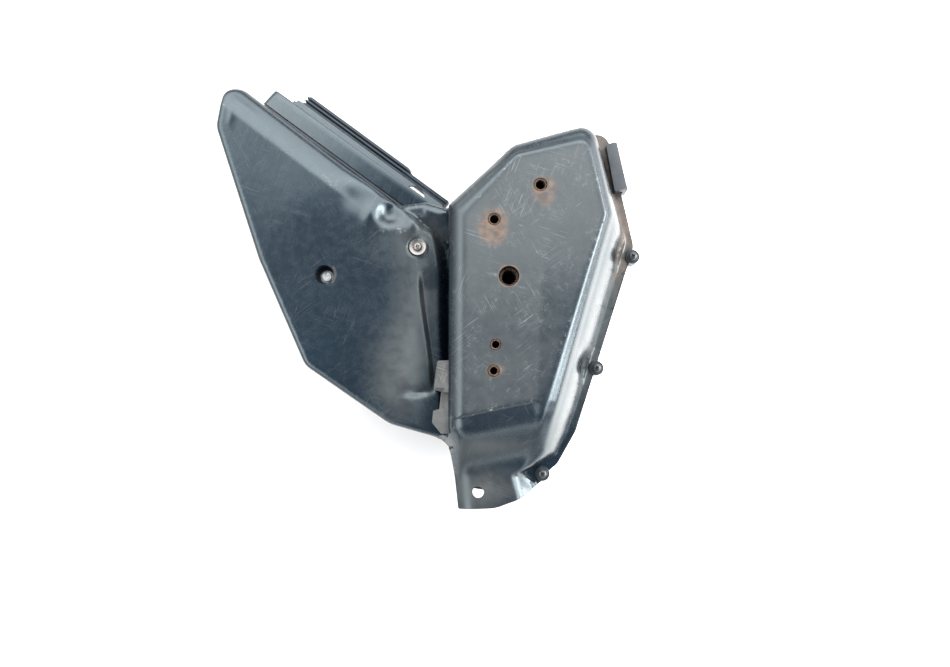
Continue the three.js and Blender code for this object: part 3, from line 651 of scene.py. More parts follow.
def terrace(places, outlines, heights):
    """Height over nested outlines: each outline is a contour, with even slopes between them."""
    depths = [depth(corners, places) for corners in outlines]
    height = np.full(len(places), NOWHERE)
    for i, (outer, low) in enumerate(zip(depths, heights)):
        if i + 1 < len(depths):
            span = outer - depths[i + 1]
            share = np.clip(outer / np.where(span > 1e-6, span, 1), 0, 1)
            value = low + (heights[i + 1] - low) * share
            within = (outer >= 0) & (depths[i + 1] < 0)
        else:
            value = low + 0 * outer
            within = outer >= 0
        height = np.where(within, value, height)
    return height


def left_face(places):
    return LEFT_FACE - LEFT_FACE_SLOPE * (places[:, 0] - LEFT_FACE_LEFT_X)


def bump_at(places, x, y, reach_x, reach_y, turn=0.0):
    c, s = math.cos(turn), math.sin(turn)
    dx, dy = places[:, 0] - x, places[:, 1] - y
    return np.exp(-((dx * c + dy * s) / reach_x) ** 2 - ((dy * c - dx * s) / reach_y) ** 2)


def outer_depth(places):
    """Distance inside the case's outer edge, seen from above."""
    whole = depth(LEFT_OUTLINE, places)
    whole = smooth_max(whole, depth(FLANGE_OUTLINE, places), 4)
    whole = smooth_max(whole, depth(RIGHT_SHOULDER_OUTLINE, places), 2)
    whole = smooth_max(whole, depth(DUCT_OUTLINE, places), 7 + 12 * smoothstep(-35, -50, places[:, 0]))
    whole = smooth_max(whole, depth(HUMP_OUTLINE, places), 3)
    whole = np.maximum(whole, depth(JOIN_OUTLINE, places))
    return smooth_max(whole, depth(SADDLE_OUTLINE, places), 1)


def footprint(places):
    """Distance from the nearest edge of the moulded skin, its round holes included."""
    whole = outer_depth(places)
    for x, y, radius in ROUND_HOLES:
        whole = np.minimum(whole, np.hypot(places[:, 0] - x, places[:, 1] - y) - radius)
    return whole


def fillet(distance, radius):
    """How far a rounded edge has dropped at a distance inside it."""
    short = radius - np.clip(distance, 0, radius)
    return radius - np.sqrt(radius * radius - short * short)


def crease_at(x):
    """How far up the crease across the right lobe runs."""
    return np.interp(x, (-49, -14, 22, 60), (-134.5, -127, -120, -120))


def groove_at(y):
    """How far right the groove down the left lobe's valley side runs."""
    return -88.6 + 11.7 * smoothstep(10, -100, y)


def mould_line_at(y):
    """How far right the fine raised line up the right lobe runs."""
    return np.interp(y, (-118, -14, 74, 120), (25.8, 30.3, 37.8, 44))


def left_lobe(places):
    x, y = places[:, 0], places[:, 1]
    along, out = along_out(places)
    height = left_face(places)
    # a broad shoulder along the lid, and a rounded edge all round
    shoulder = np.clip((out - LID_SHOULDER) / 28.5, 0, 1)
    slope = 0.2 + 0.8 * smoothstep(-160, -215, along)
    height -= 10.5 * slope * (0.6 * shoulder + 0.4 * shoulder * shoulder) * smoothstep(-100, -135, x)
    height -= fillet(depth(LEFT_OUTLINE, places), 6.5)
    # low ridges that run round the upper corner
    corner = depth(LEFT_OUTLINE, places) - 15
    height += 0.6 * np.exp(-(corner / 3.0) ** 2) * smoothstep(-245, -268, x) * smoothstep(150, 168, y)
    # the knuckle beside the lid's lower end, with a saddle beyond it
    height += 2.6 * bump_at(places, -137, 68, 8, 14, -0.3)
    height -= 1.7 * bump_at(places, -157, 85, 9.5, 13, 0.55)
    height -= 6.0 * bump_at(places, -120, 71, 9, 9)
    height += 4.2 * bump_at(places, -94, 62, 7.5, 14)
    height -= 2.0 * smoothstep(52, 66, y) * smoothstep(-140, -120, x) * smoothstep(-70, -80, x)
    # the valley side rolls down, with a groove in it and a trough along the other lobe
    trough_left = -70 - 6 * smoothstep(10, 58, y) + 2 * smoothstep(-20, -90, y)
    height -= 4 * smoothstep(-104, -76, x)
    height -= 15 * smoothstep(trough_left - 2, trough_left + 9, x) * smoothstep(-150, -120, y)
    height -= 3.6 * smoothstep(-2.8, 2.8, x - groove_at(y)) * smoothstep(16, -8, y) * smoothstep(-114, -94, y)
    height -= 3.4 * bump_at(places, -91, -110, 12, 4.0, 0.1)
    height += 1.4 * bump_at(places, -112, -78, 20, 34)
    height += 1.2 * bump_at(places, -200, 80, 40, 40)
    return height


def right_lobe(places):
    x, y = places[:, 0], places[:, 1]
    level = terrace(places, (LOBE_BASE, LOBE_SHOULDER, LOBE_EDGE, LOBE_FACE), (0, 1, 2, 3))
    # a smooth curve through the heights of the rings
    known = (FLANGE_TOP, 121.5, 132.5, RIGHT_FACE)
    slopes = (52, 22, 6.5, 0)
    height = np.full(len(places), NOWHERE)
    for k in range(3):
        t = level - k
        low, high = known[k], known[k + 1]
        curve = (
            low * (1 + 2 * t) * (1 - t) ** 2 + high * t * t * (3 - 2 * t)
            + slopes[k] * t * (1 - t) ** 2 - slopes[k + 1] * t * t * (1 - t)
        )
        height = np.where((t >= 0) & (t < 1), curve, height)
    height = np.where(level >= 3, RIGHT_FACE, height)
    # below a crease the face drops in an s-shaped slope to the duct
    below = crease_at(x) - y
    drop = 2.2 * smoothstep(0, 1.6, below) * smoothstep(32, 20, x) + 0.12 * np.clip(below, 0, None)
    drop += 26 * smoothstep(8, 62, below)
    kept = 1 - drop / (RIGHT_FACE - FLANGE_TOP)
    height = np.where(level >= 0, FLANGE_TOP + (height - FLANGE_TOP) * kept, height)
    # a facet beside the neck
    facet = 94 - 0.7 * (x - 8) - 40 * smoothstep(9, 2, x) - 30 * smoothstep(24, 31, x)
    facet -= 30 * smoothstep(-192, -187, y)
    height = np.where(height > NOWHERE + 100, smooth_max(height, facet, 3), height)
    height += 0.35 * np.exp(-((x - mould_line_at(y)) / 1.4) ** 2) * (level > 2.8) * (y > -122)
    height -= fillet(outer_depth(places), 6) * (level > 0.95) * (y > 0)
    duct_side = x - np.interp(y, (-225, -196, -176, -152), (-51, -54, -57, -57.5))
    height -= 8 * (1 - np.clip(duct_side / 20, 0, 1)) ** 2.4 * smoothstep(-142, -166, y)
    for node in FLANGE_SCREWS[:2]:  # the wall steps in beside each flange screw
        screw_x, screw_y, _ = centre_of(node)
        on_wall = (height > FLANGE_TOP + 2) & (height < RIGHT_FACE - 3)
        height -= 14 * bump_at(places, screw_x - 11, screw_y + 3, 8, 13) * on_wall
    return np.where(height > NOWHERE + 100, np.maximum(height, FLANGE_TOP), height)


def hump_and_saddle(places):
    y = places[:, 1]
    inside_hump = depth(HUMP_OUTLINE, places)
    hump = HUMP_TOP + 1.5 - 14 * smoothstep(68, 36, y) - fillet(inside_hump, 7)
    hump = np.where(inside_hump > -3, hump, NOWHERE)
    inside_saddle = depth(SADDLE_OUTLINE, places)
    saddle = 91 + 15 * smoothstep(42, 74, y) - fillet(inside_saddle, 4)
    saddle = np.where(inside_saddle > -3, saddle, NOWHERE)
    return smooth_max(hump, saddle, 3)


def case_height(places):
    x, y = places[:, 0], places[:, 1]
    left = np.where(depth(LEFT_OUTLINE, places) > -0.8, left_lobe(places), NOWHERE)
    flange = np.where(outer_depth(places) > -6, FLANGE_TOP, NOWHERE)
    height = smooth_max(smooth_max(left, right_lobe(places), 5), flange, 2)
    height = smooth_max(height, hump_and_saddle(places), 4)
    # the left lobe's lower corner runs into the side of the duct
    inside = outer_depth(places)
    web = 97 - fillet(inside, 6) - 40 * smoothstep(-172, -188, y) - 40 * smoothstep(-84, -96, x)
    web -= 40 * smoothstep(-144, -136, y) + 60 * smoothstep(-56, -48, x)
    height = smooth_max(height, np.where(inside > -3, web, NOWHERE), 4)
    screw_x, screw_y, _ = centre_of("dished_screw")
    dished = np.hypot(x - screw_x, y - screw_y)
    return height + (DISHED_SEAT - height) * smoothstep(11, 8.6, dished)


DISHED_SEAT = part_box("dished_washer")[0][2] / MM - 0.3
INSERT_RADIUS = {"top": 6.5, "upper": 6, "lower": 5.2, "bottom": 5.6}
RECESS_RADIUS, SLEEVE_RADIUS = 9.6, 9.6
ROUND_HOLES = [(*centre_of("threaded_insert_" + name)[:2], r + 0.3) for name, r in INSERT_RADIUS.items()]
ROUND_HOLES += [
    (*centre_of("mount_sleeve")[:2], SLEEVE_RADIUS + 0.3),
    (*centre_of("recess_screw")[:2], RECESS_RADIUS),
    (-31, -208, 5.8),
]


def skirt_foot(places):
    """How far down the wall goes below each place on the rim. None where it has no wall."""
    left = depth(LEFT_OUTLINE, places) > -1.2
    flange = depth(FLANGE_OUTLINE, places)
    hump = np.maximum(depth(HUMP_OUTLINE, places), depth(SADDLE_OUTLINE, places)) > -3
    hump &= (flange < -1.5) & (places[:, 1] > 38)
    foot = np.where(left, LEFT_BASE, np.where(hump & (places[:, 0] < -51), HUMP_UNDER, RIGHT_BASE))
    duct_mouth = (places[:, 1] < -198) & (places[:, 0] > -50.3) & (places[:, 0] < 31)
    inner = outer_depth(places) > 1
    recess = np.hypot(*(places - np.array(centre_of("recess_screw")[:2])).T) < RECESS_RADIUS + 1
    foot = np.where(recess, RECESS_FLOOR, foot)
    return np.where(duct_mouth | (inner & ~recess), np.nan, foot)


def wall_levels(height, foot):
    """Heights of a wall's rows. Two of them are the top and bottom of the filter's mouth."""
    if foot < MOUTH["bottom"]:
        return [
            *np.linspace(height, MOUTH["top"], 5), *np.linspace(MOUTH["top"], MOUTH["bottom"], 4)[1:],
            *np.linspace(MOUTH["bottom"], foot, 3)[1:],
        ]
    return list(np.linspace(height, foot, 10))


def in_mouth(middle):
    along, out = middle[:2] @ ALONG, middle[:2] @ OUTWARD
    inside = MOUTH["start"] < along < MOUTH["end"] and MOUTH["bottom"] < middle[2] < MOUTH["top"]
    return inside and abs(out - MOUTH_PLANE) < 4


def edge_loops():
    """The edges of the skin seen from above, as loops of places."""
    step = 2.5
    xs, ys = np.arange(-305, 146, step), np.arange(-236, 216, step)
    grid_x, grid_y = np.meshgrid(xs, ys, indexing="ij")
    places = np.column_stack([grid_x.ravel(), grid_y.ravel()])
    value = footprint(places)
    number = np.arange(len(places)).reshape(grid_x.shape)
    a, b, c, d = number[:-1, :-1], number[1:, :-1], number[1:, 1:], number[:-1, 1:]
    halves = (np.stack([a, b, c], -1), np.stack([a, c, d], -1))
    triangles = np.concatenate([half.reshape(-1, 3) for half in halves])
    inside = value[triangles] > 0
    mixed = inside.any(1) & ~inside.all(1)
    neighbours = {}
    for corners, signs in zip(triangles[mixed].tolist(), inside[mixed].tolist()):
        ends = []
        for k in range(3):
            if signs[k] != signs[(k + 1) % 3]:
                ends.append(tuple(sorted((corners[k], corners[(k + 1) % 3]))))
        neighbours.setdefault(ends[0], []).append(ends[1])
        neighbours.setdefault(ends[1], []).append(ends[0])
    loops = []
    while neighbours:
        key = next(iter(neighbours))
        loop = []
        while key is not None:
            p, q = key
            share = value[p] / (value[p] - value[q])
            loop.append(places[p] + share * (places[q] - places[p]))
            following = [other for other in neighbours.pop(key) if other in neighbours]
            key = following[0] if following else None
        loops.append(np.array(loop))
    return loops


def inward(places):
    """Distance from the edge, and the direction straight away from it."""
    step = 0.1
    value = footprint(places)
    right = footprint(places + (step, 0)) - value
    up = footprint(places + (0, step)) - value
    slope = np.column_stack([right, up])
    return value, slope / np.maximum(np.linalg.norm(slope, axis=1), 1e-6)[:, None]


def measured(loop):
    """A loop with its first place again at the end, and how far along it each place is."""
    closed = np.vstack([loop, loop[:1]])
    run = np.concatenate([[0], np.cumsum(np.linalg.norm(np.diff(closed, axis=0), axis=1))])
    return closed, run


def places_at(closed, run, at):
    return np.column_stack([np.interp(at, run, closed[:, 0]), np.interp(at, run, closed[:, 1])])


def spaced(loop, spacing):
    """The same loop with even spacing, put back onto the edge."""
    closed, run = measured(loop)
    count = max(24, round(run[-1] / spacing))
    even = places_at(closed, run, np.linspace(0, run[-1], count, endpoint=False))
    for _ in range(3):
        value, direction = inward(even)
        even = even - direction * value[:, None]
    return even


def rows_beside(corners, offsets, spacing):
    """Rows of places along an outline, at distances to its inner side."""
    closed, run = measured(rounded(corners))
    line = places_at(closed, run, np.arange(0, run[-1], spacing))
    way = np.roll(line, -1, 0) - np.roll(line, 1, 0)
    way /= np.maximum(np.linalg.norm(way, axis=1), 1e-6)[:, None]
    return [line + offset * np.column_stack([-way[:, 1], way[:, 0]]) for offset in offsets]


def fine_rows():
    """Rows of places beside what is sharp: the valley's cliff, the groove, the crease and the lobe's foot."""
    rows = []
    cliff_y = np.arange(-150, 74, GRID)
    for x in np.arange(-63.5, -53, 1.05):
        rows.append(np.column_stack([np.full(len(cliff_y), x), cliff_y + 0.3 * GRID]))
    groove_y = np.arange(-112, 14, 0.8 * GRID)
    for offset in np.arange(-3.2, 4, 0.8):
        rows.append(np.column_stack([groove_at(groove_y) + offset, groove_y + 0.2 * GRID]))
    crease_x = np.arange(-48, 32, 0.7 * GRID)
    for offset in np.arange(-2.8, 2.0, 0.7):
        rows.append(np.column_stack([crease_x + 0.1 * offset, crease_at(crease_x) + offset]))
    return rows + rows_beside(LOBE_BASE, (-1.6, -0.5, 0.5, 1.6), 0.8 * GRID)


def hang_walls(places, height, triangles, rim):
    """Vertices and faces of the skin, with walls that hang from its rim."""
    vertices = [*np.column_stack([places, height])]
    faces = triangles.tolist()
    foot = skirt_foot(places)
    hanging = {}
    for a, b in rim.tolist():
        if math.isnan(foot[a]) or math.isnan(foot[b]):
            continue
        for v in (a, b):
            if v not in hanging:
                hanging[v] = [v]
                for level in wall_levels(height[v], foot[v])[1:]:
                    hanging[v].append(len(vertices))
                    vertices.append(np.array([*places[v], level]))
        for row in range(len(hanging[a]) - 1):
            corners = (hanging[b][row], hanging[a][row], hanging[a][row + 1], hanging[b][row + 1])
            if not in_mouth(sum(vertices[c] for c in corners) / 4):
                faces.append(corners)
    return vertices, faces


def case_skin():
    """The case's outer surface, one open mesh that the wall's thickness is given to later."""
    rim_places, rim = [], []
    for loop in edge_loops():
        even = spaced(loop, 0.8 * GRID)
        first = len(rim_places)
        rim_places.extend(even)
        rim += [(first + k, first + (k + 1) % len(even)) for k in range(len(even))]
    rim_places = np.array(rim_places)
    _, direction = inward(rim_places)
    groups = [rim_places]
    for step_in in (0.5, 1.1, 2.0, 3.2):
        row = rim_places + direction * step_in
        groups.append(row[np.abs(footprint(row) / step_in - 1) < 0.12])
    across, up = np.meshgrid(np.arange(-300, 142, GRID), np.arange(-232, 212, GRID * math.sqrt(0.75)))
    across[1::2] += GRID / 2
    filling = np.column_stack([across.ravel(), up.ravel()])
    filling = filling[footprint(filling) > 3.2 + 0.7 * GRID]
    for row in fine_rows():
        row = row[footprint(row) > 3.6]
        if len(row):
            groups.append(row)
    taken = KDTree(sum(len(row) for row in groups))
    for index, place in enumerate(np.concatenate(groups)):
        taken.insert((*place, 0), index)
    taken.balance()
    groups.append(np.array([place for place in filling if taken.find((*place, 0))[2] > 0.6 * GRID]))
    points = np.concatenate(groups)
    points = points[np.append(np.ones(len(rim_places), bool), footprint(points[len(rim_places):]) > 0.35)]
    found = delaunay_2d_cdt([Vector(p) for p in points], rim, [], 0, 1e-4)
    places = np.array([tuple(v) for v in found[0]])
    triangles = np.array([tuple(f) for f in found[2] if len(f) == 3])
    middles = places[triangles].mean(1)
    triangles = triangles[footprint(middles) > 0]
    used, triangles = np.unique(triangles, return_inverse=True)
    places, triangles = places[used], triangles.reshape(-1, 3)

    sides = np.concatenate([triangles[:, [k, (k + 1) % 3]] for k in range(3)])
    key = np.sort(sides, 1)
    _, first, times = np.unique(key, axis=0, return_index=True, return_counts=True)
    rim = sides[first[times == 1]]
    height = case_height(places)
    reach = 0.9
    around = [case_height(places + shift) for shift in ((reach, 0), (-reach, 0), (0, reach), (0, -reach))]
    softened = (2 * height + sum(around)) / 6
    height = np.where(footprint(places) > reach + 0.4, softened, height)
    return new_object("case_skin", *hang_walls(places, height, triangles, rim))


def rubbed_pale_and_painted_light(places, on_face):
    """The greyer wear over the right lobe, made paler towards the top of the face as painted light."""
    x, y = places[:, 0], places[:, 1]
    clean = smoothstep(-1.5, 3, x - mould_line_at(y)) * smoothstep(70, -60, y)
    # painted light: the pale wear grows towards the top of the face
    right = on_face * (1 - 0.75 * clean) * (0.48 + 0.52 * smoothstep(-70, 60, y))
    corner = 0.5 * smoothstep(-58, -50, x) * smoothstep(-134, -126, y) * smoothstep(10, -20, x)
    soiled = 0.22 - 0.1 * smoothstep(-124, -132, y)
    soiled *= smoothstep(-56, -44, x) * smoothstep(-8, 2, depth(RIGHT_EDGE_OUTLINE, places))
    return np.maximum(np.maximum(right, corner), soiled)


def edge_wear(places, height, on_face):
    """Chips along the edges, on the knuckle and in the valley."""
    x, y = places[:, 0], places[:, 1]
    edge = np.exp(-((depth(RIGHT_FACE_OUTLINE, places) + 0.5) / 1.6) ** 2) * (x > -36) * (y > -90)
    lower_edge = 1.6 * np.exp(-((crease_at(x) - y + 0.7) / 1.7) ** 2)
    lower_edge *= smoothstep(-47, -43, x) * smoothstep(30, 24, x)
    _, out = along_out(places)
    shoulder = np.exp(-((out - LID_SHOULDER) / 1.1) ** 2) * (x < -165)
    scuffed = np.exp(-((out + 30) / 4.0) ** 2) * np.exp(-((x + 178) / 9) ** 2)
    knuckle = bump_at(places, -121, 52, 21, 4.5, -0.08) + bump_at(places, -93, 61, 9, 12)
    knuckle += 0.7 * bump_at(places, -134, 72, 4, 10) + 0.5 * bump_at(places, -95, 80, 14, 3)
    rims = 0.35 * np.exp(-(depth(LEFT_OUTLINE, places) / 1.6) ** 2) * (height > 90)
    valley = 0.45 * bump_at(places, -100, 8, 16, 9, 0.4) + 0.3 * bump_at(places, -64, 0, 4, 30)
    wear = 0.5 * edge + lower_edge + 0.6 * shoulder + 0.6 * scuffed + 0.8 * knuckle + rims + valley
    return np.clip(wear + 0.12 * on_face, 0, 1)


def rust_stains(places, height, flange_dirt):
    """Rust around the inserts and the sleeve, and along the flange."""
    rust = np.zeros(len(places))
    stains = (  # insert, reach across and up, shift from its middle, strength
        ("top", 12, 15, 4, -6, 0.75), ("upper", 13, 17, -1, -7, 1.0),
        ("lower", 5.5, 5.5, 0, 0, 0.5), ("bottom", 8, 6, 2, 0, 0.7),
    )
    for name, reach_x, reach_y, shift_x, shift_y, strength in stains:
        x, y, _ = centre_of("threaded_insert_" + name)
        rust = np.maximum(rust, strength * bump_at(places, x + shift_x, y + shift_y, reach_x, reach_y))
    ring = (np.hypot(places[:, 0], places[:, 1]) - SLEEVE_RADIUS - 0.6) / 1.0
    rust = np.maximum(rust, 0.6 * np.exp(-ring ** 2)) * smoothstep(120, 130, height)
    return np.maximum(rust, 0.42 * flange_dirt * smoothstep(-40, 40, places[:, 1]))


def dust_film_and_painted_shade(places, on_face, flange_dirt):
    """Dust in the valley, in the duct's neck and on the flange, taken out of the trough beside the right lobe
    as painted shade.
    """
    x, y = places[:, 0], places[:, 1]
    dust = 0.8 * bump_at(places, -108, -92, 24, 46) + 0.6 * bump_at(places, -92, -20, 20, 50)
    dust += 0.25 * on_face + 0.8 * flange_dirt + 0.07
    dust += 0.85 * bump_at(places, -26, -205, 34, 22) + 0.6 * bump_at(places, -22, -163, 28, 9)
    dust += 0.45 * bump_at(places, -76, 48, 14, 18) + 0.35 * bump_at(places, -100, 38, 34, 22)
    # painted shade: no dust in the trough beside the right lobe, so it stays darkest
    return dust * (1 - 0.9 * smoothstep(-72, -66, x) * smoothstep(-50, -58, x) * smoothstep(62, 22, y))


def paint_masks(obj):
    """Right lobe's wear with painted light, edge wear, rust, and dust with painted shade, as the channels of
    one colour attribute.
    """
    co = np.empty(len(obj.data.vertices) * 3, np.float32)
    obj.data.vertices.foreach_get("co", co)
    co = co.reshape(-1, 3) / MM
    places, height = co[:, :2].astype(float), co[:, 2]
    x, y = places[:, 0], places[:, 1]
    on_face = smoothstep(-3, 5, depth(RIGHT_FACE_OUTLINE, places)) * (x > -60)
    flange_dirt = smoothstep(92, 82, height) * (x > 40) * smoothstep(-170, -60, y)
    masks = (
        rubbed_pale_and_painted_light(places, on_face),
        edge_wear(places, height, on_face),
        rust_stains(places, height, flange_dirt),
        dust_film_and_painted_shade(places, on_face, flange_dirt),
    )
    colours = np.column_stack([np.clip(mask, 0, 1) for mask in masks])
    layer = obj.data.color_attributes.new("mask", "FLOAT_COLOR", "POINT")
    layer.data.foreach_set("color", colours.astype(np.float32).ravel())


skin = case_skin()
fix_normals(skin)
if skin.data.polygons[0].normal.z < 0:
    skin.data.flip_normals()
paint_masks(skin)
thick = skin.modifiers.new("wall", "SOLIDIFY")
thick.thickness = WALL * MM
thick.offset = -1
thick.use_even_offset = False
bpy.context.view_layer.update()
apply_modifiers(skin)
shade(skin, 38)
finish_piece(skin, "case", "case_plastic", CASE, "main_case")


# ---------- walls and bosses inside the case ----------
def curtain(name, start, end, thickness, low, clearance=3.4, steps=40):
    """An upright wall between two points, whose top follows the moulded skin above it."""
    start, end = np.array(start, float), np.array(end, float)
    direction = (end - start) / np.linalg.norm(end - start)
    across = np.array([-direction[1], direction[0]]) * thickness / 2
    line = start + np.linspace(0, 1, steps + 1)[:, None] * (end - start)
    top = np.minimum(case_height(line + across), case_height(line - across)) - clearance
    rings = []
    for place, high in zip(line, top):
        rings.append(np.array([
            [*(place - across), low], [*(place + across), low],
            [*(place + across), high], [*(place - across), high],
        ]))
    return solid(name, *stack(rings))


def on_slant(along, out):
    return along * ALONG + out * OUTWARD


partition = curtain("partition", on_slant(-333, -47.5), on_slant(-46, -47.5), 3, LEFT_BASE)
boolean(partition, [prism("cut", rectangle(ELEMENT, 8, 3), -60, -30, on_slant=True)])
under_hump = curtain("wall", on_slant(-138, -3.8), on_slant(-66, -3.8), WALL, LEFT_BASE, 5)
boolean(under_hump, [prism("cut", rectangle(MOUTH), -20, 12, on_slant=True)])
divider = curtain("wall", (-53.8, -158), (-53.8, 33), WALL, LEFT_BASE)
end_wall = curtain("wall", (-53.8, 33), (-53.8, 77), WALL, RIGHT_BASE)


def cup(node, outer, inner, low, floor, high, hole=0.0):
    """A round pocket about a node, with a floor that may have a hole."""
    profile = [(hole, low), (outer, low), (outer, high), (inner, high), (inner, floor), (hole, floor)]
    return lathe("cup", profile, centre_of(node), 48)


face_here = left_face(np.array([centre_of("recess_screw")]))[0]
bosses = [
    cup("recess_screw", 12.4, 9.6, 100.4, RECESS_FLOOR, face_here - 0.6, 2.9),
    cup("recess_screw", 7, 2.9, LEFT_BASE, LEFT_BASE + 0.01, 100.3, 2.9),
    cup("mount_sleeve", 12.4, 9.8, 100, 102, RIGHT_FACE - 0.6),
]
bosses += [
    cup("threaded_insert_" + name, radius + 2.5, radius + 0.2, 116.5, 118.5, RIGHT_FACE - 0.6)
    for name, radius in INSERT_RADIUS.items()
]
bosses.append(lathe("pillar", [
    (2.9, LEFT_BASE), (7, LEFT_BASE), (7, DISHED_SEAT - 1), (2.9, DISHED_SEAT - 1),
], centre_of("dished_screw")))
inner = merged("case_inner_walls", [partition, under_hump, divider, end_wall, *bosses])
shade(inner)
finish_piece(inner, "case", "case_plastic", COVER)

BOSS_TOP = FLANGE_TOP + 2
boss_profile = [
    (2.9, RIGHT_BASE), (7.5, RIGHT_BASE), (7.5, BOSS_TOP - 0.8), (6.9, BOSS_TOP), (2.9, BOSS_TOP),
]
flange_bosses = [lathe("boss", boss_profile, centre_of(node)) for node in FLANGE_SCREWS]
flange_bosses = merged("case_flange_bosses", flange_bosses)
shade(flange_bosses)
finish_piece(flange_bosses, "case", "case_plastic", CASE)


# ---------- screws, washers, sleeve and inserts ----------
HEAD_HEIGHT, WASHER_HEIGHT = 3.0, 1.0


def pan_screw(name, seat, head, shank, length, washer=0.0, axis=(0, 0, 1)):
    """A pan-head screw with a cross recess. seat is the point under its head."""
    rise = WASHER_HEIGHT if washer else 0.0
    profile = [(0, -length), (shank * 0.6, -length), (shank, -length + 1.5), (shank, 0)]
    if washer:
        profile += [(washer - 0.2, 0), (washer, 0.25), (washer, 0.8), (washer - 0.25, rise)]
    profile += [
        (head - 0.1, rise), (head, rise + 0.3), (head, rise + 1.2), (head * 0.93, rise + 1.9),
        (head * 0.75, rise + 2.5), (head * 0.45, rise + 2.9), (0, rise + HEAD_HEIGHT),
    ]
    obj = lathe(name, profile, sides=40)
    arm, width = head * 0.56, head * 0.17
    tools = []
    for turn in (0.35, 0.35 + math.pi / 2):
        tool = block("cross", -arm, arm, -width, width, rise + 1.0, rise + 4)
        tool.data.transform(Matrix.Rotation(turn, 4, "Z"))
        tools.append(tool)
    tools.append(lathe("point", [(0, rise + 0.6), (width * 1.7, rise + 4), (0, rise + 4)], sides=16))
    boolean(obj, tools)
    shade(obj, 32)
    turn = Vector((0, 0, 1)).rotation_difference(Vector(axis)).to_matrix().to_4x4()
    obj.data.transform(Matrix.Translation(Vector(seat) * MM) @ turn)
    return obj


for node in FLANGE_SCREWS:
    low, high = low_high(node)
    seat = centre_of(node, high.z - HEAD_HEIGHT - WASHER_HEIGHT)
    screw = pan_screw(node + "_detailed", seat, head=4.2, shank=2.4, length=17, washer=5.4)
    finish_piece(screw, "case", "black_steel", BLACK_STEEL, node)
# the recess screw gets the lighter copy of plated steel, painted light
for node, head, screw_material in (("recess_screw", 5.5, ZINC_STEEL_PAINTED_LIGHT), ("dished_screw", 4.0, DULL_STEEL)):
    low, high = low_high(node)
    seat = centre_of(node, high.z - HEAD_HEIGHT)
    screw = pan_screw(node + "_detailed", seat, head, shank=2.5, length=high.z - HEAD_HEIGHT - low.z)
    finish_piece(screw, "case", "bright_steel", screw_material, node)
for node in PANEL_SCREWS:
    low, high = low_high(node)
    seat = centre_of(node, low.z + HEAD_HEIGHT)
    screw = pan_screw(node + "_detailed", seat, head=4, shank=1.9, length=15, axis=(0, 0, -1))
    finish_piece(screw, "case", "black_steel", BLACK_STEEL, node)
LID_CORNERS = [(along, up) for up in (42.5, 86.5) for along in (-317.5, -110.5)]
for number, (along, up) in enumerate([LID_CORNERS[0], LID_CORNERS[2], LID_CORNERS[1], LID_CORNERS[3]], 1):
    node = f"lid_screw_{number}"
    seat = (*on_slant(along, LID["depth"] - 4 + 0.3), up)
    screw = pan_screw(node + "_detailed", seat, head=4.2, shank=1.9, length=26, axis=(*OUTWARD, 0))
    finish_piece(screw, "lid", "black_steel", BLACK_STEEL, node)

low, high = low_high("recess_washer")
washer = lathe("recess_washer_detailed", [
    (2.9, low.z), (6.5, low.z), (6.6, low.z + 0.2), (6.6, high.z - 0.3), (6.4, high.z), (2.9, high.z),
], centre_of("recess_washer"))
finish_piece(washer, "case", "bright_steel", ZINC_STEEL_PAINTED_LIGHT, "recess_washer")
low, _ = low_high("dished_washer")
washer = lathe("dished_washer_detailed", [
    (2.9, 0), (4.6, 0), (6.4, 0.5), (8.4, 1.4), (8.6, 1.8), (8.3, 2.2), (7.8, 2.1), (6.2, 1.35),
    (4.5, 0.95), (2.9, 0.9),
], centre_of("dished_washer", low.z))
finish_piece(washer, "case", "bright_steel", DULL_STEEL, "dished_washer")


def threaded(node, outer, bore, chamfer, pitch, material=RUSTY_STEEL_SHADED_BORE):
    """A blind tube in the place of a CAD node, with thread ridges in its bore."""
    low, high = low_high(node)
    bottom, top = low.z, high.z
    profile = [(0, bottom), (outer, bottom), (outer, top - 0.4), (outer - 0.4, top), (bore + chamfer, top)]
    z = top - chamfer
    while z > bottom + 3 + pitch:
        profile += [(bore, z), (bore + 0.45 * min(pitch, 1.2), z - pitch / 2)]
        z -= pitch
    profile += [(bore, bottom + 2), (0, bottom + 2)]
    obj = lathe(node + "_detailed", profile, centre_of(node), 48, sharp=50)
    return finish_piece(obj, "case", "rusty_steel", material, node)


threaded("mount_sleeve", SLEEVE_RADIUS, 6.2, 1.0, 40, SLEEVE_STEEL_SHADED_BORE)
INSERT_BORE = {"top": 4.6, "upper": 4.3, "lower": 3.6, "bottom": 3.6}
for name, radius in INSERT_RADIUS.items():
    threaded("threaded_insert_" + name, radius, INSERT_BORE[name], 0.7, 1.25)

# ---------- right rear cover ----------
# rows of (margin, height): up the outside of the wall, round the lip, and down the inside
COVER_OUTSIDE = [
    (17, 0), (14.5, 0.4), (12.2, 1.6), (10.6, 3.6), (9.8, 6.5), (9, 12), (7.5, 30), (6, 50), (5.4, 64),
    (4.6, 66.8), (3.2, 68),
]
COVER_LIP = [(-1.6, 68), (-2, 68.5), (-2, 71.5), (-1.6, 72)]
COVER_INSIDE = [(7.8, 72), (8.2, 64), (11.6, 12), (13, 5), (17, WALL)]
cover_rings = [flat_ring(RIGHT_BASE_OUTLINE, *row) for row in COVER_OUTSIDE]
cover_rings += [flat_ring(FLANGE_OUTLINE, *row) for row in COVER_LIP]
cover_rings += [flat_ring(RIGHT_BASE_OUTLINE, *row) for row in COVER_INSIDE]
cover = solid("right_rear_cover_detailed", *stack(cover_rings))


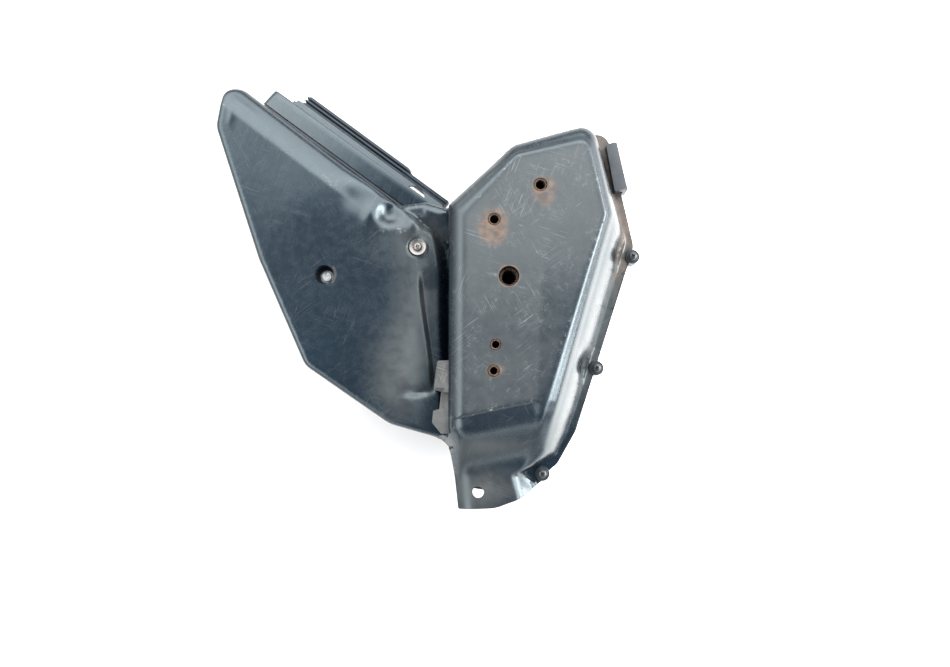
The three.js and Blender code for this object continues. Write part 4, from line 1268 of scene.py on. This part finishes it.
def duct_half(margin, front, back):
    """The cover's half of the duct, a trough that runs along the row's depth."""
    outline = rounded(inset(DUCT_REAR, margin), 8)
    rings = [np.column_stack([outline[:, 0], np.full(len(outline), y), outline[:, 1]]) for y in (front, back)]
    return solid("duct", *stack(rings))


DUCT_REAR = [(-50, 70, 1), (-48, 38, 8), (2, 36, 10), (26, 70, 1)]  # its section, across and up
boolean(cover, [duct_half(0, -212, -150)], "UNION")
boolean(cover, [
    duct_half(WALL, -240, -163),
    block("cut", -44, 11, -240, -150, 62, 90),
    prism("cut", [(-70, -232, 0.5), (0, -232, 0.5), (0, -215, 0.5), (-70, -204, 0.5)], 0, 90, 1),
    prism("cut", [
        (-10, -232, 0.5), (60, -232, 0.5), (60, -188, 0.5), (28, -186, 0.5), (-10, -217.3, 0.5),
    ], 0, 90, 1),
])
boss_profile = [(0, 58.5), (6.2, 58.5), (7, 59.5), (7.5, 67), (7.5, 71.6), (7.1, 72), (0, 72)]
boolean(cover, [lathe("boss", boss_profile, centre_of(node)) for node in FLANGE_SCREWS], "UNION")
boolean(cover, [drill(centre_of(node), 2.7, 60, 90) for node in FLANGE_SCREWS])
shade(cover, 38)
finish_piece(cover, "case", "black_plastic", COVER, "right_rear_cover")

# ---------- left rear panel, outlet boot and clamp ----------
PANEL_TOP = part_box("left_rear_panel")[1][2] / MM
PANEL_UNDER = PANEL_TOP - 4
OUTLET = centre_of("outlet_boot")
SPIGOT, SPIGOT_BORE, FOOT = 26, 22, 36  # radii at the outlet
panel_rows = [(0.8, PANEL_UNDER), (0, PANEL_UNDER + 0.8), (0, PANEL_TOP - 0.8), (0.8, PANEL_TOP)]
panel_rings = [flat_ring(LEFT_OUTLINE, margin, z) for margin, z in panel_rows]
panel = solid("left_rear_panel_detailed", *stack(panel_rings))
RIB_LOW = PANEL_UNDER - 2.4
ribs = []
for along in (-270, -215, -160, -105):
    ribs.append(slant_block("rib", along - 1.1, along + 1.1, -205, -14, RIB_LOW, PANEL_TOP - 1))
for out in (-60, -120, -178):
    ribs.append(slant_block("rib", -300, -70, out - 1.1, out + 1.1, RIB_LOW, PANEL_TOP - 1))
rib_limit = prism("limit", inset(LEFT_OUTLINE, 9), RIB_LOW - 1, PANEL_TOP, 8)
rib_cluster = ribs[0]
boolean(rib_cluster, ribs[1:], "UNION")
boolean(rib_cluster, [rib_limit], "INTERSECT")
boolean(rib_cluster, [drill(OUTLET, FOOT, 0, 60, 64)])
border = prism("border", inset(LEFT_OUTLINE, 7.5), RIB_LOW, PANEL_TOP - 1, 8)
boolean(border, [prism("cut", inset(LEFT_OUTLINE, 9.7), 0, 60, 8)])
spigot = lathe("spigot", [
    (SPIGOT_BORE, 7), (SPIGOT - 0.6, 7), (SPIGOT, 7.6), (SPIGOT, PANEL_TOP - 1), (SPIGOT_BORE, PANEL_TOP - 1),
], OUTLET, 64)
foot = lathe("foot", [
    (SPIGOT_BORE, PANEL_UNDER - 0.2), (FOOT, PANEL_UNDER - 0.2),
    (FOOT, PANEL_TOP - 1), (SPIGOT_BORE, PANEL_TOP - 1),
], OUTLET, 64)
boss_profile = [
    (0, PANEL_TOP - 9), (6, PANEL_TOP - 9), (6.5, PANEL_TOP - 8.4), (6.5, PANEL_TOP - 1), (0, PANEL_TOP - 1),
]
THROUGH_SCREWS = ("recess_screw", "dished_screw")
screw_feet = [lathe("boss", boss_profile, centre_of(node)) for node in THROUGH_SCREWS]
boolean(panel, [rib_cluster, border, spigot, foot, *screw_feet], "UNION")
panel_cuts = [drill(OUTLET, 23.4, 0, 60, 64)]
panel_cuts += [drill(centre_of(node), 2.8, PANEL_TOP - 7, 60) for node in THROUGH_SCREWS]
for node in PANEL_SCREWS:
    panel_cuts.append(drill(centre_of(node), 2.3, 0, 60))
    panel_cuts.append(drill(centre_of(node), 5.4, 0, PANEL_UNDER))
boolean(panel, panel_cuts)
shade(panel, 38)
finish_piece(panel, "case", "black_plastic", COVER, "left_rear_panel")

inner_r, top_z = SPIGOT + 0.3, PANEL_UNDER - 0.3
boot = lathe("outlet_boot_detailed", [
    (inner_r + thick, z) for thick, z in (
        (-3, 0.6), (-2.4, 0), (4.4, 0), (5, 0.6), (5, 3), (4.3, 3.7), (4.3, 5), (5, 5.7), (5, 8.4),
        (4.6, 9), (3.4, 10), (3.4, 20), (4.6, 21), (5, 21.6), (5, top_z - 0.5), (4.5, top_z),
        (0, top_z), (0, 5), (-3, 5),
    )
], OUTLET, 72)
finish_piece(boot, "case", "rubber", BOOT_RUBBER, "outlet_boot")

BAND_LOW, BAND_HIGH, BAND_MIDDLE = 11, 19, 15
LUG_GAP, LUG_SHEET, LUG_REACH = 8, 2, 6.3
band_r = inner_r + 3.7
lug_x = OUTLET[0] - band_r - 4
band = lathe("clamp_band_detailed", [
    (band_r, BAND_LOW), (band_r + 1.2, BAND_LOW - 0.1), (band_r + 0.9, BAND_LOW + 0.6),
    (band_r + 0.9, BAND_HIGH - 0.6), (band_r + 1.2, BAND_HIGH + 0.1), (band_r, BAND_HIGH),
], OUTLET, 72)
lug_y = OUTLET[1]
lugs = []
for near_y in (lug_y - LUG_GAP / 2 - LUG_SHEET, lug_y + LUG_GAP / 2):
    lug = block("lug", lug_x - 6, lug_x + 4.3, near_y, near_y + LUG_SHEET, BAND_LOW, BAND_HIGH)
    lugs.append(bevel(lug, 0.5))
boolean(band, lugs, "UNION")
boolean(band, [
    block("cut", lug_x - 8, lug_x + 9, lug_y - LUG_GAP / 2, lug_y + LUG_GAP / 2, 0, 30),
    drill((lug_x - 2, lug_y, BAND_MIDDLE), 2.1, -12, 12, axis=(0, 1, 0)),
])
shade(band)
finish_piece(band, "case", "bright_steel", BRIGHT_STEEL, "clamp_band")
seat = (lug_x - 2, lug_y - LUG_REACH, BAND_MIDDLE)
screw = pan_screw("clamp_screw_detailed", seat, head=3.4, shank=1.8, length=18, axis=(0, -1, 0))
finish_piece(screw, "case", "bright_steel", BRIGHT_STEEL, "clamp_screw")
nut = lathe("clamp_nut_detailed", [
    (2.1, 0), (3.75, 0), (3.8, 0.3), (3.8, 2.7), (3.5, 3), (2.1, 3),
], (lug_x - 2, lug_y + LUG_REACH, BAND_MIDDLE), 6, (0, 1, 0), 20)
finish_piece(nut, "case", "bright_steel", BRIGHT_STEEL, "clamp_nut")

# ---------- hose clip and edge rubber ----------
CLIP_BACK = [(-61.5, -150, 1), (-56.5, -151, 1), (-56.5, -80, 1), (-61.5, -80, 1)]
CLIP_FINGER = [(-70, -80, 2), (-73.5, -108, 2), (-63, -111, 1.5), (-57.5, -111, 0.5), (-57.5, -80, 0.5)]
CLIP_HOOK = [
    (-74, -128.5, 1.5), (-75, -140, 2), (-66, -150.5, 1),
    (-57.5, -150.5, 0.5), (-57.5, -127, 0.5), (-66, -126.5, 1),
]
clip_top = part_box("hose_clip")[1][2] / MM
CLIP_WEB = [(-66, -109, 0.5), (-68, -128, 0.5), (-61, -128, 0.5), (-61, -109, 0.5)]
CLIP_FOOT = 107
clip = prism("hose_clip_detailed", CLIP_BACK, CLIP_FOOT, clip_top - 3)
boolean(clip, [
    prism("finger", CLIP_FINGER, CLIP_FOOT, clip_top), prism("hook", CLIP_HOOK, CLIP_FOOT, clip_top - 1),
    prism("web", CLIP_WEB, CLIP_FOOT, clip_top - 5),
], "UNION")
CLIP_STEP = [(-76, -113, 1), (-64, -111.5, 1), (-63, -107, 1), (-76, -106, 1)]
boolean(clip, [prism("cut", CLIP_STEP, clip_top - 5, clip_top + 4)])
for vertex in clip.data.vertices:  # the tops of the finger and the hook slope away from the lobe
    if vertex.co.z > (clip_top - 3.5) * MM:
        vertex.co.z -= 0.38 * max(0, -61 * MM - vertex.co.x)
clip_limit = curtain("limit", (-66, -154), (-66, -76), 30, 90, -0.3, 60)
boolean(clip, [clip_limit])
bevel(clip, 0.7, 2)
finish_piece(clip, "case", "black_plastic", CLIP, "hose_clip")

RUBBER_OUTLINE = [(102, 147, 1.5), (110, 97, 1.5), (123, 100, 2.5), (113, 150, 2.5)]
low, high = low_high("edge_rubber")
rubber_block = prism("edge_rubber_detailed", RUBBER_OUTLINE, low.z, high.z)
LIP_OUTLINE = [(121.5, 100.2, 0.5), (125, 101.4, 0.8), (123.8, 107, 0.8), (120, 107, 0.5)]
lip = prism("lip", LIP_OUTLINE, low.z + 4, high.z - 9)
boolean(rubber_block, [lip], "UNION")
boolean(rubber_block, [
    prism("cut", inset(FLANGE_OUTLINE, -2.3), 67.7, 78.3, 8),
    prism("cut", inset(RIGHT_BASE_OUTLINE, 1.0), 70, 120, 8),
    prism("cut", inset(RIGHT_BASE_OUTLINE, 3.0), 30, 76, 8),
])
bevel(rubber_block, 0.8, 3)
finish_piece(rubber_block, "case", "rubber", EDGE_RUBBER, "edge_rubber")

# ---------- slanted lid ----------
LID_DEPTH = LID["depth"]
LID_RECT, INTAKE_RECT = rectangle(LID), rectangle(INTAKE)
# rows of (margin, distance out): the lid's outside, the intake's collar, and the lid's inside
LID_OUTSIDE = [(0.4, 0), (0, 0.4), (0, 6), (0, 12), (0, 17.6), (0.35, 18.6), (1.0, 19.2), (2.0, LID_DEPTH)]
COLLAR = [
    (-2.2, LID_DEPTH), (-0.7, 20), (0, 21.2), (0, 27.6), (0.4, 28), (2.2, 28), (2.6, 27.6),
    (2.6, LID_DEPTH - 3),
]
LID_INSIDE = [(4, LID_DEPTH - 3), (3, LID_DEPTH - 4), (3, 0.4), (2.6, 0)]
LID_ROWS = [(LID_RECT, *row) for row in LID_OUTSIDE] + [(INTAKE_RECT, *row) for row in COLLAR]
LID_ROWS += [(LID_RECT, *row) for row in LID_INSIDE]
lid = slant_shell("filter_lid_detailed", LID_ROWS)
corner_posts = []
for along, up in LID_CORNERS:
    centre = (*on_slant(along, 0), up)
    corner_posts.append(lathe("post", [(0, 0.3), (5.6, 0.3), (5.6, 17), (0, 17)], centre, 32, (*OUTWARD, 0)))
STRIP_LOW, STRIP_HIGH, STRIP_OUT = 74, 78, 28
strip_start, strip_end = INTAKE["start"] - 3, LID["end"] - 3
strip = prism("strip", [
    (strip_start, LID_DEPTH - 1.5, 0.3), (strip_end, LID_DEPTH - 1.5, 0.3),
    (strip_end, STRIP_OUT, 1.5), (strip_start, STRIP_OUT, 1.5),
], STRIP_LOW, STRIP_HIGH, 4)
strip.data.transform(Matrix.Rotation(SLANT, 4, "Z"))
boolean(lid, [strip, *corner_posts], "UNION")
tools = [drill((-138, 16.2, 0), 12.3, 60, 90, 64)]  # a D-shaped hole in the strip
boolean(tools[0], [block("cut", -170, -100, 0, 19.5, 50, 95)])
tools[0].data.transform(Matrix.Rotation(SLANT, 4, "Z"))
for along, up in LID_CORNERS:
    centre = (*on_slant(along, 0), up)
    tools.append(lathe("cut", [
        (0, -4), (2.4, -4), (2.4, 15.5), (4.8, 15.5), (4.8, 30), (0, 30),
    ], centre, 32, (*OUTWARD, 0)))
boolean(lid, [merged("cuts", tools)])


def tilt_lid_top(obj):
    """The top of the lid leans outwards at its far end and is level at the valley."""
    for vertex in obj.data.vertices:
        place = np.array(vertex.co) / MM
        along, out = place[:2] @ ALONG, place[:2] @ OUTWARD
        lean = (0.27 * float(smoothstep(-152, -192, along)) - 0.12) * float(smoothstep(84, 95, place[2]))
        vertex.co.z -= lean * max(0, min(out, LID_DEPTH)) * MM
        if out > LID_DEPTH + 0.2 and STRIP_HIGH - 0.5 < place[2] < STRIP_HIGH + 0.5:
            vertex.co.z -= 0.17 * (out - LID_DEPTH) * MM


def paint_plain(obj, right, wear, rust, dust):
    layer = obj.data.color_attributes.new("mask", "FLOAT_COLOR", "POINT")
    layer.data.foreach_set("color", [right, wear, rust, dust] * len(obj.data.vertices))


tilt_lid_top(lid)
shade(lid, 38)
paint_plain(lid, 0.0, 0.0, 0.0, 0.12)
# painted light and shade: the lid's dust film lightens its upper end and fades out towards the lower end
for vertex, mask in zip(lid.data.vertices, lid.data.color_attributes["mask"].data):
    along = vertex.co.x / MM * ALONG[0] + vertex.co.y / MM * ALONG[1]
    mask.color = (0, 0, 0, 0.14 * float(smoothstep(-150, -205, along)))  # dust film that also paints light: paler at the upper end, none at the lower end
paint_plain(flange_bosses, 0.2, 0.0, 0.0, 0.3)
finish_piece(lid, "lid", "case_plastic", CASE, "filter_lid")

# ---------- ribbed intake seal ----------
SEAL_FROM, RIB_PITCH = 28.3, 4.0
seal_rows = [(INTAKE_RECT, 3.6, SEAL_FROM), (INTAKE_RECT, -1.4, SEAL_FROM)]
for rib in range(3):
    start = SEAL_FROM + 0.7 + RIB_PITCH * rib
    for out, reach in ((0, -1.2), (0.6, -2.9), (1.3, -3.2), (2.0, -2.9), (2.6, -1.2), (3.3, -0.4)):
        seal_rows.append((INTAKE_RECT, reach, start + out))
seal_rows += [(INTAKE_RECT, *row) for row in ((-1.2, 40.5), (-0.6, 40.7), (3.2, 40.7), (3.6, 40.3))]
seal = slant_shell("intake_seal_detailed", seal_rows)


def ribbed_tail():
    """The solid end of the seal, with the same ribs along its top and bottom."""
    low, high = 58.8, 67.2
    section = [(SEAL_FROM, low)]
    for rib in range(2):
        start = SEAL_FROM + 0.6 + RIB_PITCH * rib
        under = ((0.5, 0), (1, 0.7), (2, 0.7), (2.5, 0), (3.2, -0.5))
        section += [(start + out, low - rise) for out, rise in under]
    section += [(SEAL_FROM + 8.5, low), (SEAL_FROM + 8.5, high)]
    for rib in (1, 0):
        start = SEAL_FROM + 0.6 + RIB_PITCH * rib
        over = ((3.2, -0.5), (2.5, 0), (2, 0.8), (1, 0.8), (0.5, 0))
        section += [(start + out, high + rise) for out, rise in over]
    section.append((SEAL_FROM, high))
    rings = []
    for along in np.linspace(INTAKE["end"] - 2, LID["end"] - 3, 12):
        rings.append(np.array([[*on_slant(along, out), up] for out, up in section]))
    return solid("tail", *stack(rings))


boolean(seal, [ribbed_tail()], "UNION")
shade(seal, 45)
finish_piece(seal, "lid", "rubber", SEAL_RUBBER, "intake_seal")

# ---------- filter element ----------
ELEMENT_RECT = rectangle(ELEMENT)
BAR = 7
frame_rows = [
    (2.4, -44), (2, -43.6), (2, -14.4), (1.6, -14), (0.4, -14), (0, -13.4), (0, -8.6), (0.6, -8),
    (BAR - 0.4, -8), (BAR, -8.5), (BAR, -43.6), (BAR - 0.4, -44),
]
element_frame = slant_shell("element_frame_detailed", [(ELEMENT_RECT, *row) for row in frame_rows])
finish_piece(element_frame, "element", "black_plastic", COVER, "element_frame")

PLEATS, SHEET = 44, 1.1
GRID_WIRES, GRID_BARS = 36, 7
pleat_low, pleat_high = ELEMENT["bottom"] + BAR + 0.3, ELEMENT["top"] - BAR - 0.3
pleat_start, pleat_end = ELEMENT["start"] + BAR + 0.6, ELEMENT["end"] - BAR - 0.6
near, far = [], []
for k in range(2 * PLEATS + 1):
    along = pleat_start + (pleat_end - pleat_start) * k / (2 * PLEATS)
    out = ELEMENT["back"] + 5 if k % 2 else ELEMENT["front"] - 4
    near.append((along, out))
    far.append((along, out + SHEET))
section = np.array(near + far[::-1])
flat = section[:, :1] * ALONG + section[:, 1:] * OUTWARD
rings = [np.column_stack([flat, np.full(len(flat), up)]) for up in (pleat_low, pleat_high)]
count = len(section)
faces = []
half = len(near)
for k in range(half - 1):
    a, b, c, d = k, k + 1, count - 2 - k, count - 1 - k
    faces.append((d, c, b, a))
    faces.append((count + a, count + b, count + c, count + d))
for k in range(count):
    j = (k + 1) % count
    faces.append((k, j, count + j, count + k))
pleats = solid("element_pleats_detailed", np.concatenate(rings), faces, 60)
finish_piece(pleats, "element", "filter_paper", PAPER, "element_pleats")

grid_pieces = []
for along in np.linspace(pleat_start + 0.8, pleat_end - 0.8, GRID_WIRES):
    grid_pieces.append(slant_block("wire", along - 0.4, along + 0.4, -43, -42.2, pleat_low, pleat_high))
for up in np.linspace(pleat_low + 0.6, pleat_high - 0.6, GRID_BARS):
    grid_pieces.append(slant_block("wire", pleat_start, pleat_end, -42.2, -41.4, up - 0.4, up + 0.4))
element_grid = merged("element_grid_detailed", grid_pieces)
finish_piece(element_grid, "element", "bright_steel", BRIGHT_STEEL, "element_grid")

for node in ("right_cover_seal", "left_panel_seal", "lid_gasket"):
    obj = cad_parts[node]
    for slot in obj.material_slots:
        slot.material = SEAL_RUBBER

# ---------- floor, light and camera ----------
bpy.ops.mesh.primitive_plane_add(size=14, location=(0, 0, 0))
floor = bpy.context.object
floor.name = "floor"
paper = Nodes("pale_floor_with_light_pool")
tint = paper.mix(paper.ramp(paper.noise(0.8, 2.0), 0.3, 0.7), (0.52, 0.52, 0.52), (0.55, 0.55, 0.55))
paper.feed(paper.shader.inputs["Base Color"], tint)
paper.feed(paper.shader.inputs["Roughness"], 0.6)
# painted light: the floor glows in a strong warm pool to the right of the case, which the right wall
# reflects; further off it glows faintly and evenly
paper.feed(paper.shader.inputs["Emission Color"], (1.0, 0.96, 0.91))
painted_light_pool = paper.add("ShaderNodeVectorMath", operation="DISTANCE")
paper.link(paper.place, painted_light_pool.inputs[0])
painted_light_pool.inputs[1].default_value = (0.42, -0.12, 0)
paper.feed(paper.shader.inputs["Emission Strength"], paper.ramp(painted_light_pool.outputs["Value"], 0.12, 0.5, 4.4, 0.25))
floor.data.materials.append(paper.material)

world = bpy.data.worlds.new("studio")
bpy.context.scene.world = world
world.use_nodes = True
sky = Tree(world.node_tree)
background = sky.add("ShaderNodeBackground")
sky.link(background.outputs[0], sky.add("ShaderNodeOutputWorld").inputs[0])
view = sky.add("ShaderNodeTexCoord").outputs["Generated"]


def toward(direction):
    """How nearly the view runs in a direction."""
    node = sky.add("ShaderNodeVectorMath", operation="DOT_PRODUCT")
    sky.link(view, node.inputs[0])
    node.inputs[1].default_value = direction
    return node.outputs["Value"]


overhead_dark = toward(Vector((0.10, -0.20, 0.97)).normalized())
# the nearer dark patch ends well above the horizon
near_share = sky.ramp(sky.above(view), 0.22, 0.5, 0.4, 1.0)
near_dark = sky.math("MULTIPLY", toward(Vector((0.05, -0.85, 0.55))), near_share)
shades = sky.add("ShaderNodeValToRGB")
sky.link(sky.math("MAXIMUM", overhead_dark, near_dark), shades.inputs[0])
SKY = [  # how directly the view runs towards the dark, and the light from there
    (0.0, (0.45, 0.45, 0.45)), (0.38, (0.6, 0.6, 0.6)), (0.5, (0.82, 0.82, 0.82)),
    (0.62, (1.0, 1.0, 1.0)), (0.75, (1.0, 1.0, 1.0)), (0.80, (0.42, 0.44, 0.46)),
    (0.84, (0.12, 0.15, 0.175)), (0.88, (0.04, 0.055, 0.07)), (0.95, (0.025, 0.038, 0.05)),
    (1.0, (0.025, 0.036, 0.047)),
]
stops = shades.color_ramp.elements
stops.remove(stops[1])
for index, (position, colour) in enumerate(SKY):
    stop = stops[0] if index == 0 else stops.new(position)
    stop.position = position
    stop.color = (*colour, 1)
sky.link(shades.outputs[0], background.inputs["Color"])
# the light fades towards the horizon
sky.link(sky.ramp(sky.above(view), 0.1, 0.55, 0.95, 6.6), background.inputs["Strength"])


def softbox(name, place, target, size, power):
    lamp = bpy.data.lights.new(name, "AREA")
    lamp.shape = "RECTANGLE"
    lamp.size, lamp.size_y = size
    lamp.energy = power
    obj = bpy.data.objects.new(name, lamp)
    bpy.context.scene.collection.objects.link(obj)
    obj.location = place
    obj.rotation_euler = (Vector(target) - Vector(place)).to_track_quat("-Z", "Y").to_euler()
    return obj


softbox("window_right", (2.4, 0.2, 1.0), target=(0.2, 0, 0), size=(2.0, 1.2), power=160)
softbox("softbox_far", (-0.5, 2.6, 1.9), target=(0, 0, 0.08), size=(4.0, 1.7), power=50)

# the camera stands over the lower edge of the face and looks almost straight down
CAMERA_HEIGHT = 0.855
CAMERA_NADIR = (-0.009, -0.136)
camera_data = bpy.data.cameras.new("camera")
camera = bpy.data.objects.new("camera", camera_data)
bpy.context.scene.collection.objects.link(camera)
camera_data.sensor_width = 36
camera_data.lens = 28.8
camera.location = (*CAMERA_NADIR, CAMERA_HEIGHT)
TILT_X, TILT_Y = math.radians(6.38156), math.radians(1.88405)
camera.rotation_euler = (TILT_X, TILT_Y, 0)
bpy.context.scene.camera = camera
bpy.context.scene.view_settings.view_transform = "Standard"
